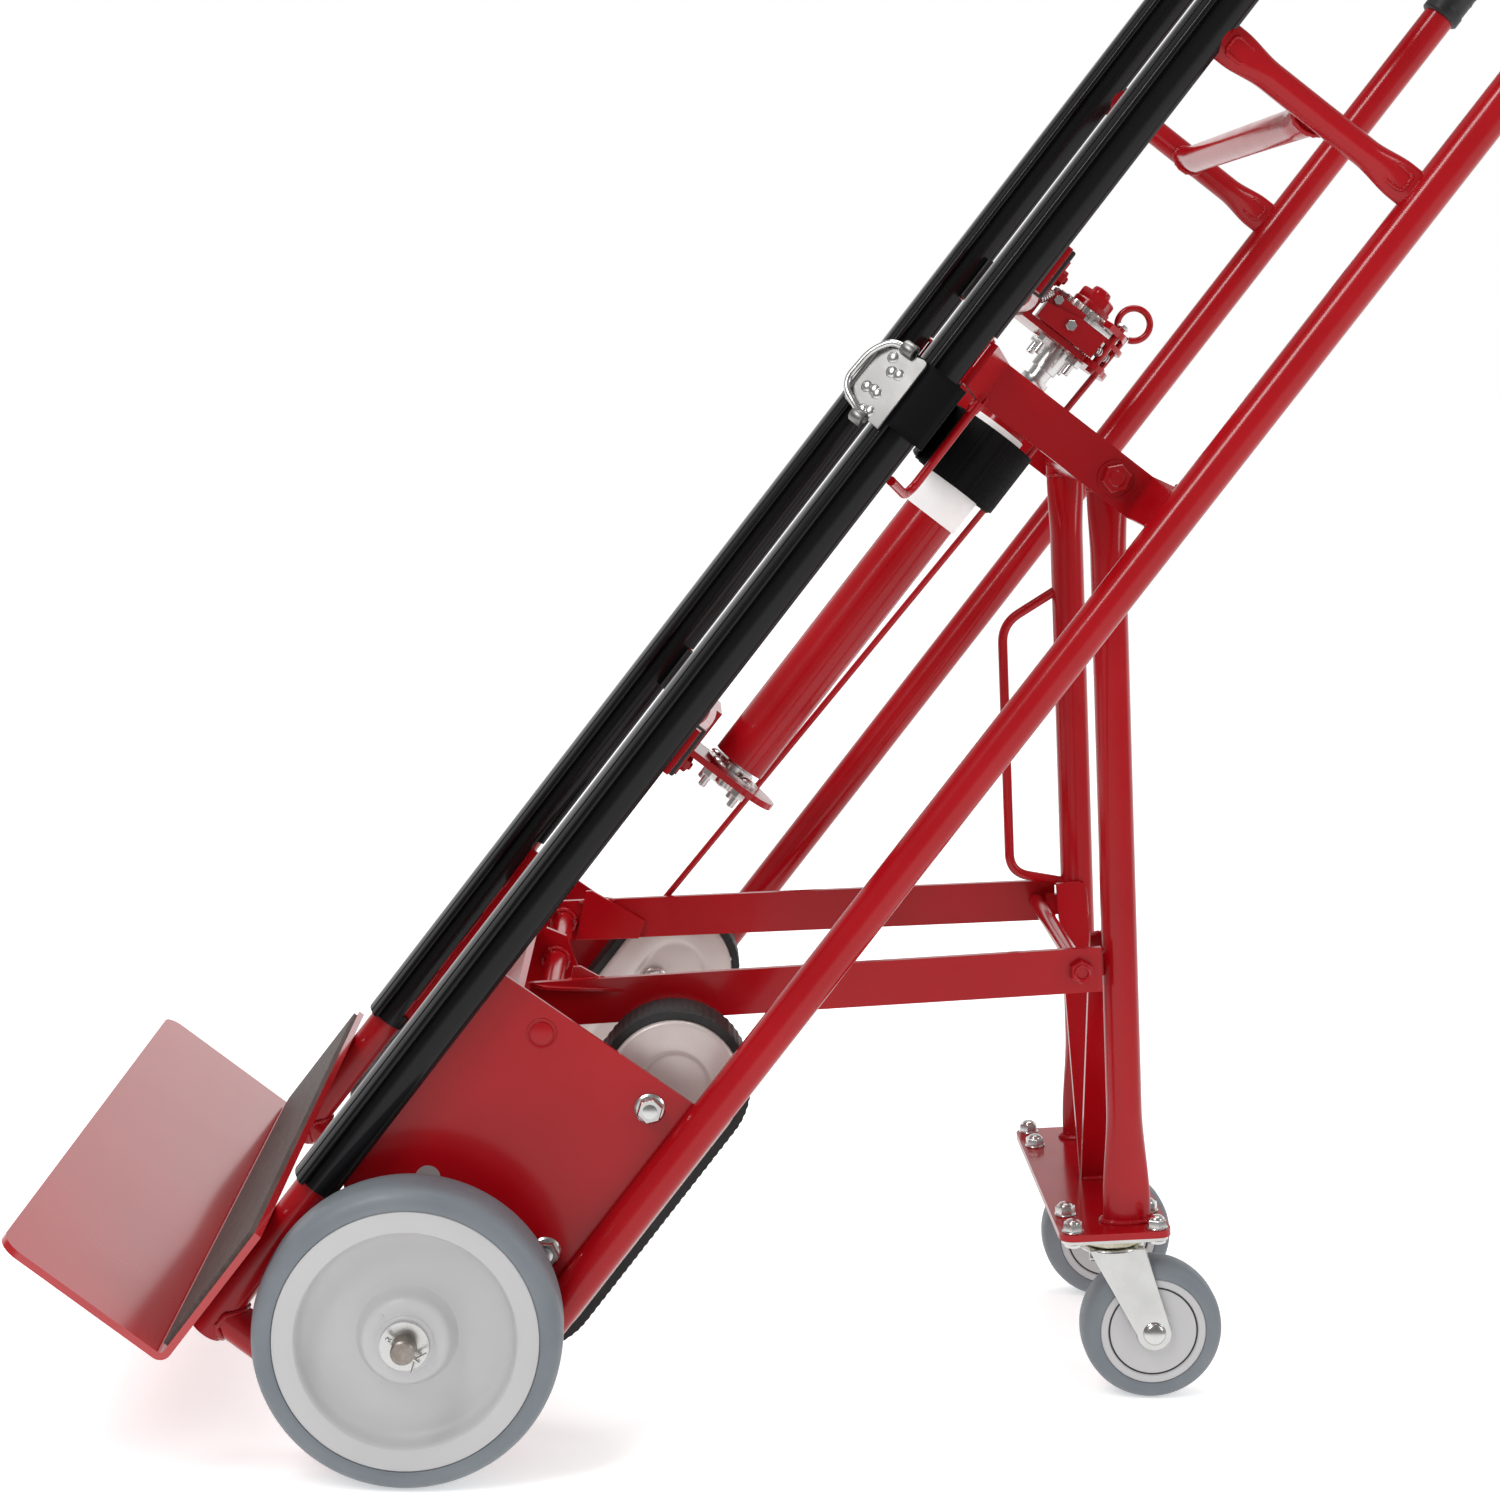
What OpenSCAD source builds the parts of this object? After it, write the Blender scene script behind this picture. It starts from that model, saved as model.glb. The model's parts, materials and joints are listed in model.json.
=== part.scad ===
// Four-wheel appliance hand truck with a strap roller, stair climbers and folding rear legs.
// It stands leaning back on its main wheels and rear casters, as it does when it is parked.
// +X points to the rear of the truck, +Y to its right-hand side and +Z up.
// Most pieces are drawn in the rail frame: x runs up the rails, y across the truck, and
// z from the rear rails towards the load. stand() turns that frame to the parked lean.

/* [Rails] */
// Outside diameter of the rail tube
rail_d = 26; // [24:0.5:27]
// Wall of the rail and leg tubes
tube_wall = 2; // [1.5:0.25:3]
// Distance between the left and right rails, centre to centre
rail_gauge = 430; // [420:5:440]
// Distance between the front and rear rail of one side, centre to centre
rail_depth = 181; // [176:1:186]
// Length from the underside of the toe to the top of the handles
truck_length = 1524; // [1420:2:1560]

/* [Toe plate] */
// Width of the toe plate
toe_w = 559; // [520:1:580]
// Depth of the toe plate in front of the rails
toe_depth = 132; // [110:1:150]
// Height of the toe plate's back leaf
toe_back_h = 106; // [96:1:110]
// Thickness of the toe plate
toe_t = 5; // [4:0.5:6]

/* [Wheels] */
// Diameter of the main wheels
wheel_d = 203.2; // [200:0.2:206]
// Width of the main wheel tread
wheel_w = 45; // [42:1:48]
// Diameter of the main axle
axle_d = 15.9; // [15:0.1:16]
// Diameter of the caster wheels
caster_d = 101.6; // [98:0.2:104]
// Width of the caster wheel tread
caster_w = 30; // [28:1:31]

/* [Rear legs] */
// Angle between the deployed legs and the rails
leg_angle = 39.9; // [38:0.1:41]
// Length of a leg from its pivot to the caster plate
leg_length = 537.5; // [534:0.5:540]
// Outside diameter of the leg tube
leg_d = 25.4; // [24:0.2:26]
// Distance between the two legs, centre to centre
leg_gauge = 200; // [196:1:204]
// Width of the horizontal brace bars
brace_w = 31.75; // [30:0.25:33]

/* [Strap roller] */
// Outside diameter of the strap tube
strap_tube_d = 41; // [38:1:43]
// Outside diameter of the wound strap
strap_roll_d = 68; // [60:1:70]
// Width of the strap
strap_w = 48; // [45:1:50]
// Number of teeth on the ratchet gear
gear_teeth = 24; // [16:4:32]

/* [Hidden] */
$fn = 64;

red = [0.62, 0.07, 0.09];
black = [0.09, 0.09, 0.09];
steel = [0.76, 0.75, 0.73];
grey = [0.43, 0.45, 0.47];
pale = [0.77, 0.76, 0.76];

// Fits and small gaps
weld_gap = 0.1;        // gap left at a coped or welded joint
running = 0.06;        // radial clearance of a turning fit
air = 0.5;             // gap between pieces that pass each other

// Rails
rail_r = rail_d / 2;
side_y = rail_gauge / 2;
rear_z = 119;
front_z = rear_z + rail_depth;
toe_x = -132;
bend_r = rail_depth / 2;
top_x = toe_x + truck_length - rail_r - bend_r;
rail_end_x = toe_x + 10;
foot_r = 90;
foot_x = -17;

// Toe plate
back_z = front_z + rail_r + 0.2;
toe_bend_r = 8;
toe_corner_r = 15;
pad_t = 3;
pad_margin = 5;

// Rail guards
guard_w = 40;
guard_rear = front_z - 14;
guard_lip = front_z + 12;
guard_rise = 6;
guard_x0 = 2;
guard_x1 = 1230;
guard_slot = 18;
groove = 1.6;

// Flat crossbars, bowed to the rear
crossbar_x = [381, 781, 1181];
crossbar_w = 36;
flat_t = 5;
bow = 17.6;
crossbar_z = front_z - rail_r - flat_t / 2 - 0.1;
bow_r = (side_y * side_y + bow * bow) / (2 * bow);
bow_angle = asin(side_y / bow_r);

// Upper links between the front and rear rails
link_x = 965;
link_d = 22;
link_bar_z = 210;

// Side plates and main axle
plate_y = 207;
plate_t = 3;
axle_x = -25.7;
axle_z = 197.5;
axle_half = 300;
wheel_y = 259;
wheel_r = wheel_d / 2;
hub_w = 50;
washer_d = 32;
washer_t = 3;
hub_rim_r = 87;
hub_dish_r = 70;
hub_boss_r = 28;
hub_web = 10;

// Stair climbers
climber_y = 166.5;
climber_top = [191.6, 145];
climber_bottom = [25, 145];
shell_r = 46;
belt_t = 7;
belt_w = 37;
shell_half = 21.5;
shell_t = 2;
shell_rim = 15;
climber_bolt_at = [[175.5, 153], [55, 149]];
climber_bolt_d = 10;
hex_d = 19;

// Leg pivot and brackets
pivot_x = 703;
pivot_z = 155;
pivot_bolt_d = 12;
pivot_tube_d = 22;
bracket_y = 137;
bracket_w = 33;
leg_y = leg_gauge / 2;
leg_r = leg_d / 2;

// Brace pivot on the legs, in the leg frame: distance down the leg, and in front of it
brace_s = 348.5;
brace_n = 30.7;
brace_pin_d = 12;
brace_y_leg = 116.2;
brace_y_front = 131.5;
brace_front = [173, 242];
brace_tail = 15;

// Caster plate and casters, in the leg frame
caster_plate_d = 80;
caster_plate_w = 254;
caster_n = 12;
caster_base_t = 3;
kingpin_d = 10;
fork_s = leg_length + flat_t + 9;
caster_s = 615.3;
caster_trail = 26.4;
caster_r = caster_d / 2;
caster_axle_d = 10;
fork_gap = caster_w + 3;
fork_t = 2.5;

// Strap roller
roller_z = 224;
shaft_d = 16;
bearing_t = 7;
lower_plate_x = 359.5;
tube_x0 = 374;
tube_x1 = 700;
sleeve_x0 = 605;
roll_x0 = 631;
roll_x1 = 685;
head_plate_x = 761;
gear_x = 790;
gear_t = 5;
gear_r = 30;
tooth_h = 4;
plate_half = 32;
flange_z = 259;
pawl_pin = [-28, 200];
pawl_pin_d = 6;

// Position of the legs' brace pivot in the rail frame
function leg_point(s, n) = [
    pivot_x - s * cos(leg_angle) - n * sin(leg_angle),
    pivot_z - s * sin(leg_angle) + n * cos(leg_angle)
];
brace_pin = leg_point(brace_s, brace_n);
brace_run = [brace_front[0] - brace_pin[0], brace_front[1] - brace_pin[1]];
brace_len = norm(brace_run);
brace_angle = atan2(brace_run[1], brace_run[0]);
brace_slant = atan2(brace_y_front - brace_y_leg, brace_len);

// Lean at which the main wheels and the casters stand on one floor
caster_at = leg_point(caster_s, caster_n - caster_trail);
wheelbase = [caster_at[0] - axle_x, caster_at[1] - axle_z];
lean = asin((caster_r - wheel_r) / norm(wheelbase)) - atan2(wheelbase[1], wheelbase[0]);
floor_z = wheel_r - axle_x * sin(lean) - axle_z * cos(lean);
// The origin lies half-way between the toe's tip and the handles' rear edge
toe_tip_x = toe_x * cos(lean) - (back_z + toe_depth) * sin(lean);
grip_t = 3.2;
handle_rear_x = top_x * cos(lean) - (rear_z + bend_r) * sin(lean) + bend_r + rail_r + grip_t;
floor_x = -(toe_tip_x + handle_rear_x) / 2;

// ---- Frames and shared shapes ----

module stand() translate([floor_x, 0, floor_z]) rotate([0, -lean, 0]) children();

module on_leg()
    stand() translate([pivot_x, 0, pivot_z]) rotate([0, 180 - leg_angle, 0]) children();

module tube_x(x0, x1, d, wall)
    translate([x0, 0, 0]) rotate([0, 90, 0]) difference() {
        cylinder(d = d, h = x1 - x0);
        translate([0, 0, -1]) cylinder(d = d - 2 * wall, h = x1 - x0 + 2);
    }

module rod_y(x, z, d, y0, y1)
    translate([x, y0, z]) rotate([-90, 0, 0]) cylinder(d = d, h = y1 - y0);

module rod_x(x0, x1, d) translate([x0, 0, 0]) rotate([0, 90, 0]) cylinder(d = d, h = x1 - x0);

module hex_y(x, z, y0, h) translate([x, y0, z]) rotate([-90, 0, 0]) cylinder(d = hex_d, h = h, $fn = 6);

// A slab lying in the side plane, from y0 to y0 + t, whose outline is in rail x and z
module side_slab(y0, t) translate([0, y0 + t, 0]) rotate([90, 0, 0]) linear_extrude(t) children();

// A strip of constant thickness along an open path, with mitred bends
function turn_left(v) = [-v[1], v[0]] / norm(v);
function miter(p, i) =
    let (n = len(p) - 1,
         a = turn_left(p[max(i, 1)] - p[max(i, 1) - 1]),
         b = turn_left(p[min(i, n - 1) + 1] - p[min(i, n - 1)]))
    (a + b) / (1 + a * b);
module strip(p, t)
    polygon(concat(
        [for (i = [0 : len(p) - 1]) p[i] + miter(p, i) * t / 2],
        [for (i = [len(p) - 1 : -1 : 0]) p[i] - miter(p, i) * t / 2]));

// An extrusion along rail x of an outline given in y and z
module along_x(x0, x1)
    translate([x0, 0, 0]) rotate([90, 0, 90]) linear_extrude(x1 - x0) children();

// Both rails of one side as solid rods, to cope other pieces round them
module rail_cope(side)
    for (z = [front_z, rear_z])
        translate([0, side * side_y, z]) rod_x(toe_x, top_x, rail_d + 2 * weld_gap);

// ---- Toe plate ----

module toe_plate() color(red) stand() {
    inner_r = toe_bend_r - toe_t;
    translate([toe_x, 0, back_z]) difference() {
        union() {
            translate([toe_bend_r, -toe_w / 2, 0]) cube([toe_back_h - toe_bend_r, toe_w, toe_t]);
            translate([0, -toe_w / 2, toe_bend_r]) cube([toe_t, toe_w, toe_depth - toe_bend_r]);
            translate([0, toe_w / 2, 0]) rotate([90, 0, 0]) linear_extrude(toe_w)
                intersection() {
                    translate([toe_bend_r, toe_bend_r]) difference() {
                        circle(toe_bend_r);
                        circle(inner_r);
                    }
                    square(toe_bend_r);
                }
        }
        for (side = [-1, 1]) translate([-1, side * (toe_w / 2 - toe_corner_r), toe_depth - toe_corner_r])
            rotate([0, 90, 0]) difference() {
                translate([-toe_corner_r - 1, side > 0 ? 0 : -toe_corner_r - 1, 0])
                    cube([toe_corner_r + 1, toe_corner_r + 1, toe_t + 2]);
                translate([0, 0, -1]) cylinder(r = toe_corner_r, h = toe_t + 4);
            }
    }
}

module toe_pad() color([0.2, 0.17, 0.16]) stand()
    translate([toe_x + toe_bend_r + 2, -toe_w / 2 + pad_margin, back_z + toe_t])
        cube([toe_back_h - toe_bend_r - 2 - pad_margin / 2, toe_w - 2 * pad_margin, pad_t]);

// ---- Side frames ----

module front_rail(side) color(red) stand()
    translate([0, side * side_y, front_z]) tube_x(rail_end_x, top_x, rail_d, tube_wall);

module rear_rail(side) color(red) stand()
    translate([0, side * side_y, rear_z]) tube_x(foot_x, top_x, rail_d, tube_wall);

module handle_bend(side) color(red) stand()
    translate([top_x, side * side_y, rear_z + bend_r]) rotate([90, 0, 0])
        rotate([0, 0, -90]) rotate_extrude(angle = 180) translate([bend_r, 0]) difference() {
            circle(rail_r);
            circle(rail_r - tube_wall);
        }

// The rear rail's lower end, bent forward to the foot of the front rail
module foot_bends() color(red) stand() for (side = [-1, 1]) difference() {
    translate([foot_x, side * side_y, rear_z + foot_r]) {
        rotate([90, 0, 0]) rotate([0, 0, 180]) rotate_extrude(angle = 90)
            translate([foot_r, 0]) difference() {
                circle(rail_r);
                circle(rail_r - tube_wall);
            }
        translate([-foot_r, 0, 0]) rotate([0, -90, 0])
            tube_x(0, rail_depth - foot_r, rail_d, tube_wall);
    }
    translate([0, side * side_y, front_z]) rod_x(toe_x - 10, 20, rail_d + 2 * weld_gap);
}

// Grip over the rear half of the handle bend and the top of the rear rail
module grip(side) color(black) stand() translate([top_x, side * side_y, rear_z + bend_r]) {
    bore = rail_r + 0.05;
    rotate([90, 0, 0]) rotate([0, 0, -90]) rotate_extrude(angle = 80)
        translate([bend_r, 0]) difference() {
            circle(rail_r + grip_t);
            circle(bore);
        }
    translate([0, 0, -bend_r]) tube_x(-110, 0, rail_d + 2 * grip_t, rail_r + grip_t - bore);
}

// C-shaped plastic extrusion round the front rail, open at the back
module guard_outline() {
    crown_r = (guard_w * guard_w / 4 + guard_rise * guard_rise) / (2 * guard_rise);
    difference() {
        union() {
            translate([-guard_w / 2, guard_rear - front_z]) square([guard_w, guard_lip - guard_rear]);
            intersection() {
                translate([0, guard_lip - front_z + guard_rise - crown_r]) circle(crown_r, $fn = 128);
                translate([-guard_w / 2, guard_lip - front_z]) square([guard_w, guard_rise]);
            }
        }
        circle(rail_r + 0.1);
        translate([-guard_slot / 2, -rail_r - 5]) square([guard_slot, rail_r]);
        for (s = [-1, 1]) {
            translate([s * guard_w / 2, 8]) circle(groove);
            translate([s * guard_w / 2, 2]) circle(groove);
            translate([s * 13, guard_lip - front_z + 3.4]) circle(groove);
        }
    }
}

module rail_guard(side) color(black) stand() difference() {
    translate([0, side * side_y, front_z]) along_x(guard_x0, guard_x1) guard_outline();
    // the lower end is cut at a slant, and the rear lips make way for what is welded behind
    translate([guard_x0, side * side_y, guard_rear]) rotate([0, -35, 0])
        translate([-40, -30, -20]) cube([40, 60, 80]);
    for (x = crossbar_x) translate([x - crossbar_w / 2 - 2, side * side_y - 25, guard_rear - 5])
        cube([crossbar_w + 4, 50, 7]);
    translate([pivot_x - bracket_w / 2 - 2, side * side_y - 25, guard_rear - 5])
        cube([bracket_w + 4, 50, 7]);
    translate([15, side * (side_y - 14.5) - 10.5, guard_rear - 5]) cube([182, 21, 7]);
    translate([link_x, side * side_y, guard_rear - 5]) cylinder(d = link_d + 2, h = 12);
}

// ---- Crossbars and links ----

module crossbars() color(red) stand() for (x = crossbar_x)
    translate([x - crossbar_w / 2, 0, crossbar_z - bow + bow_r]) rotate([0, 90, 0])
        rotate([0, 0, -bow_angle]) rotate_extrude(angle = 2 * bow_angle, $fn = 256)
            translate([bow_r - flat_t / 2, 0]) square([flat_t, crossbar_w]);

// Straight flat bar between the side plates, which the latch hook catches
latch_bar_x0 = 152;
latch_bar_x1 = 186;
latch_bar_z = 268;
module latch_bar() color(red) stand()
    translate([latch_bar_x0, -plate_y + 0.1, latch_bar_z])
        cube([latch_bar_x1 - latch_bar_x0, 2 * plate_y - 0.2, flat_t]);

module upper_links() color(red) stand() {
    for (side = [-1, 1]) difference() {
        translate([link_x, side * side_y, rear_z]) rotate([0, -90, 0])
            tube_x(0, rail_depth, link_d, tube_wall);
        rail_cope(side);
    }
    difference() {
        translate([link_x - 3, -side_y, link_bar_z]) rotate([0, 0, 90])
            tube_x(0, rail_gauge, link_d, tube_wall);
        for (side = [-1, 1]) translate([link_x, side * side_y, rear_z])
            cylinder(d = link_d + 2 * weld_gap, h = rail_depth);
    }
}

// ---- Side plates, axle and main wheels ----

// The plate's lower front edge follows the inside of the foot bend
module side_plate(side) color(red) stand() difference() {
    edge_r = foot_r - rail_r + 0.7;
    side_slab(side > 0 ? plate_y : -plate_y - plate_t, plate_t)
        polygon(concat([[189, front_z], [196, rear_z], [foot_x, rear_z]],
            [for (a = [0 : 6 : 24]) [foot_x - edge_r * sin(a), rear_z + foot_r - edge_r * cos(a)]],
            [[-48.6, 215], [22.5, front_z]]));
    rail_cope(side);
    rod_y(axle_x, axle_z, axle_d + 0.1, -axle_half, axle_half);
    for (p = climber_bolt_at) rod_y(p[0], p[1], climber_bolt_d + 0.2, -axle_half, axle_half);
    rod_y(48, 243, 17, -axle_half, axle_half);
}

module axle() color(steel) stand() difference() {
    rod_y(axle_x, axle_z, axle_d, -axle_half, axle_half);
    for (side = [-1, 1]) translate([axle_x, side * (axle_half - 6), axle_z - axle_d])
        cylinder(d = 3.4, h = 2 * axle_d);
}

module axle_washers() color(steel) stand() for (side = [-1, 1])
    for (y = [wheel_y - hub_w / 2 - air - washer_t, wheel_y + hub_w / 2 + air])
        difference() {
            rod_y(axle_x, axle_z, washer_d, side > 0 ? y : -y - washer_t,
                  side > 0 ? y + washer_t : -y);
            rod_y(axle_x, axle_z, axle_d + 0.3, -axle_half - 1, axle_half + 1);
        }

module wheel_tyre(side) color(grey) stand() translate([axle_x, side * wheel_y, axle_z])
    rotate([-90, 0, 0]) rotate_extrude($fn = 128) tread_outline(wheel_r, hub_rim_r, wheel_w, 9);

// Half section of a solid tread with round shoulders
module tread_outline(outer, inner, width, shoulder) intersection() {
    translate([inner, -width / 2]) square([outer - inner, width]);
    union() {
        translate([inner, -width / 2]) square([outer - inner - shoulder, width]);
        translate([inner, -width / 2 + shoulder]) square([outer - inner, width - 2 * shoulder]);
        for (s = [-1, 1]) translate([outer - shoulder, s * (width / 2 - shoulder)]) circle(shoulder);
    }
}

module wheel_hub(side) color(pale) stand() translate([axle_x, side * wheel_y, axle_z])
    rotate([-90, 0, 0]) rotate_extrude($fn = 128) difference() {
        bore_r = axle_d / 2 + running;
        union() {
            translate([bore_r, -hub_w / 2]) square([hub_boss_r - bore_r, hub_w]);
            translate([bore_r, -hub_web / 2]) square([hub_rim_r - 0.05 - bore_r, hub_web]);
            translate([hub_dish_r, -wheel_w / 2 + 1]) square([hub_rim_r - 0.05 - hub_dish_r, wheel_w - 2]);
        }
        // the boss leans in towards its ends
        for (s = [-1, 1]) translate([hub_boss_r, s * hub_w / 2]) circle(5);
    }

// ---- Stair climbers ----

module climber_outline(r) {
    translate(climber_top) circle(r, $fn = 96);
    translate(climber_bottom) circle(r, $fn = 96);
    translate([climber_bottom[0], climber_bottom[1] - r])
        square([climber_top[0] - climber_bottom[0], 2 * r]);
}

// Two stamped steel dishes a side, face outward, which the belt runs round
module climber_shells() color([0.8, 0.76, 0.74]) stand() for (side = [-1, 1], face = [-1, 1])
    difference() {
        union() {
            side_slab(side * climber_y + (face > 0 ? shell_half - shell_t : -shell_half), shell_t)
                climber_outline(shell_r);
            side_slab(side * climber_y + (face > 0 ? shell_half - shell_rim : -shell_half), shell_rim)
                difference() {
                    climber_outline(shell_r);
                    climber_outline(shell_r - shell_t);
                }
        }
        for (p = climber_bolt_at) rod_y(p[0], p[1], climber_bolt_d + 0.2, -axle_half, axle_half);
    }

module climber_belts() color(black) stand() for (side = [-1, 1])
    side_slab(side * climber_y - belt_w / 2, belt_w) difference() {
        climber_outline(shell_r + belt_t);
        climber_outline(shell_r + 0.3);
    }

module climber_bolts() color(steel) stand() for (side = [-1, 1], p = climber_bolt_at) {
    inner = climber_y - shell_half - 1;
    outer = plate_y + plate_t;
    rod_y(p[0], p[1], climber_bolt_d, side > 0 ? inner : -outer, side > 0 ? outer : -inner);
    hex_y(p[0], p[1], side > 0 ? outer + 0.1 : -outer - 7.1, 7);
    hex_y(p[0], p[1], side > 0 ? inner - 3 : -inner - 1, 4);
    // spacer sleeve between the shell and the side plate
    difference() {
        rod_y(p[0], p[1], 18, side > 0 ? climber_y + shell_half + 0.1 : -plate_y + 0.1,
              side > 0 ? plate_y - 0.1 : -climber_y - shell_half - 0.1);
        rod_y(p[0], p[1], climber_bolt_d + 0.2, -axle_half, axle_half);
    }
}

// ---- Rear leg brackets ----

module leg_bracket(side) color(red) stand() difference() {
    along_x(pivot_x - bracket_w / 2, pivot_x + bracket_w / 2) scale_y(side)
        strip([[side_y, front_z - rail_r - flat_t / 2 - 0.2], [bracket_y, 262],
               [bracket_y, 133], [side_y, rear_z + 4]], flat_t);
    rail_cope(side);
    rod_y(pivot_x, pivot_z, pivot_bolt_d + 0.1, -side_y, side_y);
}

module scale_y(side) if (side > 0) children(); else mirror([1, 0]) children();

// One long pivot bolt through both brackets and the leg tube, with its head and nut
module leg_pivot_bolts() color(red) stand() {
    end = bracket_y + flat_t / 2 + 1;
    rod_y(pivot_x, pivot_z, pivot_bolt_d, -end, end);
    for (side = [-1, 1]) {
        difference() {
            rod_y(pivot_x, pivot_z, 26, side > 0 ? bracket_y + flat_t / 2 + 0.1 : -end - 1.5,
                  side > 0 ? end + 1.5 : -bracket_y - flat_t / 2 - 0.1);
            rod_y(pivot_x, pivot_z, pivot_bolt_d + 0.1, -end - 2, end + 2);
        }
        hex_y(pivot_x, pivot_z, side > 0 ? end + 1.6 : -end - 9.6, 8);
    }
}

// U-shaped wire that keeps the strap beside the left rail
guide_d = 6.5;
guide_corner = [613, -150, 262.5];
module strap_guide() color(red) stand() {
    translate([0, guide_corner[1], guide_corner[2]])
        rod_x(guide_corner[0], pivot_x - bracket_w / 2 - 0.1, guide_d);
    wire_to(guide_corner + [2, 3, -1], [607, -208, 283], guide_d);
}

// A round rod between two points
module wire_to(a, b, d) {
    v = b - a;
    translate(a) rotate([0, acos(v[2] / norm(v)), atan2(v[1], v[0])]) cylinder(d = d, h = norm(v));
}

// ---- Strap roller: fixed pieces ----

// A bearing plate with a round rear end, and the flange that fastens it to a crossbar
module roller_plate(x, flange_x0, flange_x1) difference() {
    union() {
        translate([x, -plate_half, roller_z - 8]) cube([flat_t, 2 * plate_half, flange_z - roller_z + 8]);
        translate([x, 0, roller_z - 8]) rotate([0, 90, 0]) cylinder(r = plate_half, h = flat_t);
        translate([flange_x0, -plate_half, flange_z - 0.01])
            cube([flange_x1 - flange_x0, 2 * plate_half, flat_t]);
    }
    translate([0, 0, roller_z]) rod_x(x - 1, x + flat_t + 1, shaft_d + 3);
}

module lower_bracket() color(red) stand() roller_plate(lower_plate_x, 342, 398);

module head_bracket() color(red) stand() {
    difference() {
        union() {
            roller_plate(head_plate_x, 761, 812);
            translate([0, pawl_pin[0], pawl_pin[1]]) rod_x(head_plate_x, head_plate_x + flat_t, 18);
        }
        translate([0, pawl_pin[0], pawl_pin[1]])
            rod_x(head_plate_x - 1, head_plate_x + flat_t + 1, pawl_pin_d + 0.2);
        // notch that the release rod slides through
        translate([head_plate_x - 1, 12, 180]) cube([flat_t + 2, 12, 12.4]);
    }
    // block that stands beside the shaft and holds the pawl spring
    translate([head_plate_x + flat_t + 0.1, 24, roller_z - 14]) cube([19, 8, 36]);
    // pin that the pawl turns on
    translate([0, pawl_pin[0], pawl_pin[1]]) rod_x(head_plate_x - 3, gear_x + gear_t + 3, pawl_pin_d);
}

module roller_bearings() color(steel) stand() for (x = [lower_plate_x, head_plate_x])
    translate([x + flat_t + 0.1, 0, roller_z]) difference() {
        union() {
            rod_x(0, 2.5, 46);
            rod_x(0, bearing_t, 28);
        }
        rod_x(-1, bearing_t + 1, shaft_d + 2 * running);
    }

// Pawl: a flat lever that drops into the ratchet gear's teeth
module pawl() color(red) stand()
    along_x(gear_x, gear_x + gear_t) difference() {
        union() {
            translate(pawl_pin) circle(6);
            translate([0, roller_z]) polygon([
                [-28, -30], [-14, -34], [-9.6, -31], [-9.9, -26.3], [-12.2, -25.9],
                [-13.9, -28.4], [-17.5, -28.2], [-24, -27], [-26, -18.5],
                [-38, -10], [-44, -15], [-34, -25]]);
        }
        translate(pawl_pin) circle(pawl_pin_d / 2 + running);
    }

// Webbing from the roll, behind the left rail and round the outside of its guard
strap_t = 2.2;
strap_mid = (roll_x0 + roll_x1) / 2;
guard_side = side_y + guard_w / 2;
module strap() color(black) stand() along_x(strap_mid - strap_w / 2, strap_mid + strap_w / 2)
    strip([[-6, 260.2], [-guard_side - 1.5, 283.2], [-guard_side - 2.2, 286],
           [-guard_side - 2.2, 311], [-guard_side + 7, 324.5]], strap_t);

// Steel end plate of the strap, tapered, with a wire hook
module strap_hook() color(steel) stand() {
    translate([strap_mid, -guard_side - 5.3, 310.5]) rotate([-33, 0, 0]) {
        translate([0, 1, 0]) rotate([90, 0, 0]) linear_extrude(2)
            polygon([[-30, 0], [30, 0], [23, 36], [-23, 36]]);
        for (s = [-1, 1]) translate([s * 21, 1, 36]) rotate([90, 0, 0]) cylinder(d = 8, h = 2);
    }
}

// ---- Strap roller: turning pieces ----

module strap_tube() color(red) stand() translate([0, 0, roller_z])
    difference() {
        rod_x(tube_x0, tube_x1, strap_tube_d);
        rod_x(tube_x0 - 1, tube_x1 + 1, shaft_d + 0.1);
    }

module strap_sleeve() color([0.93, 0.92, 0.91]) stand() translate([0, 0, roller_z])
    tube_x(sleeve_x0, roll_x1, strap_tube_d + 3.2, 1.5);

module strap_roll() color(black) stand() translate([0, 0, roller_z]) difference() {
    rod_x(roll_x0, roll_x1 - 1, strap_roll_d);
    rod_x(roll_x0 - 1, roll_x1, strap_tube_d + 3.4);
}

module roller_shaft() color(steel) stand() translate([0, 0, roller_z]) {
    rod_x(lower_plate_x - 8, 815, shaft_d);
    difference() {
        rod_x(gear_x + gear_t + 0.6, gear_x + gear_t + 10, 30);
        rod_x(gear_x, gear_x + gear_t + 11, shaft_d + 0.1);
    }
}

module ratchet_gear() color(steel) stand() translate([0, 0, roller_z])
    along_x(gear_x, gear_x + gear_t) difference() {
        union() {
            circle(gear_r - tooth_h, $fn = 96);
            for (i = [0 : gear_teeth - 1]) rotate(i * 360 / gear_teeth)
                polygon([[gear_r - tooth_h - 1, -2.6], [gear_r, -0.6], [gear_r, 0.6],
                         [gear_r - tooth_h - 1, 1.4]]);
        }
        circle(d = shaft_d + 0.1);
    }

// Release rod: finger loop at the top, and a straight rod down to the latch on the right
rod_d = 5;
rod_top = [799, 8, 189];
rod_foot = [228, 138, 188];
loop_r = 12;
module release_rod() color(red) stand() {
    wire_to(rod_foot - [2, 0, 0], rod_top + [1, 0, 0], rod_d);
    wire_to(rod_foot + [1.6, 0, -2.5], [204, 138, 226], rod_d);
    translate([rod_top[0] + loop_r, rod_top[1], rod_top[2]]) rotate([90, 0, 0])
        rotate_extrude() translate([loop_r, 0]) circle(d = rod_d + 0.6);
}

// ---- Folding legs ----

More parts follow.
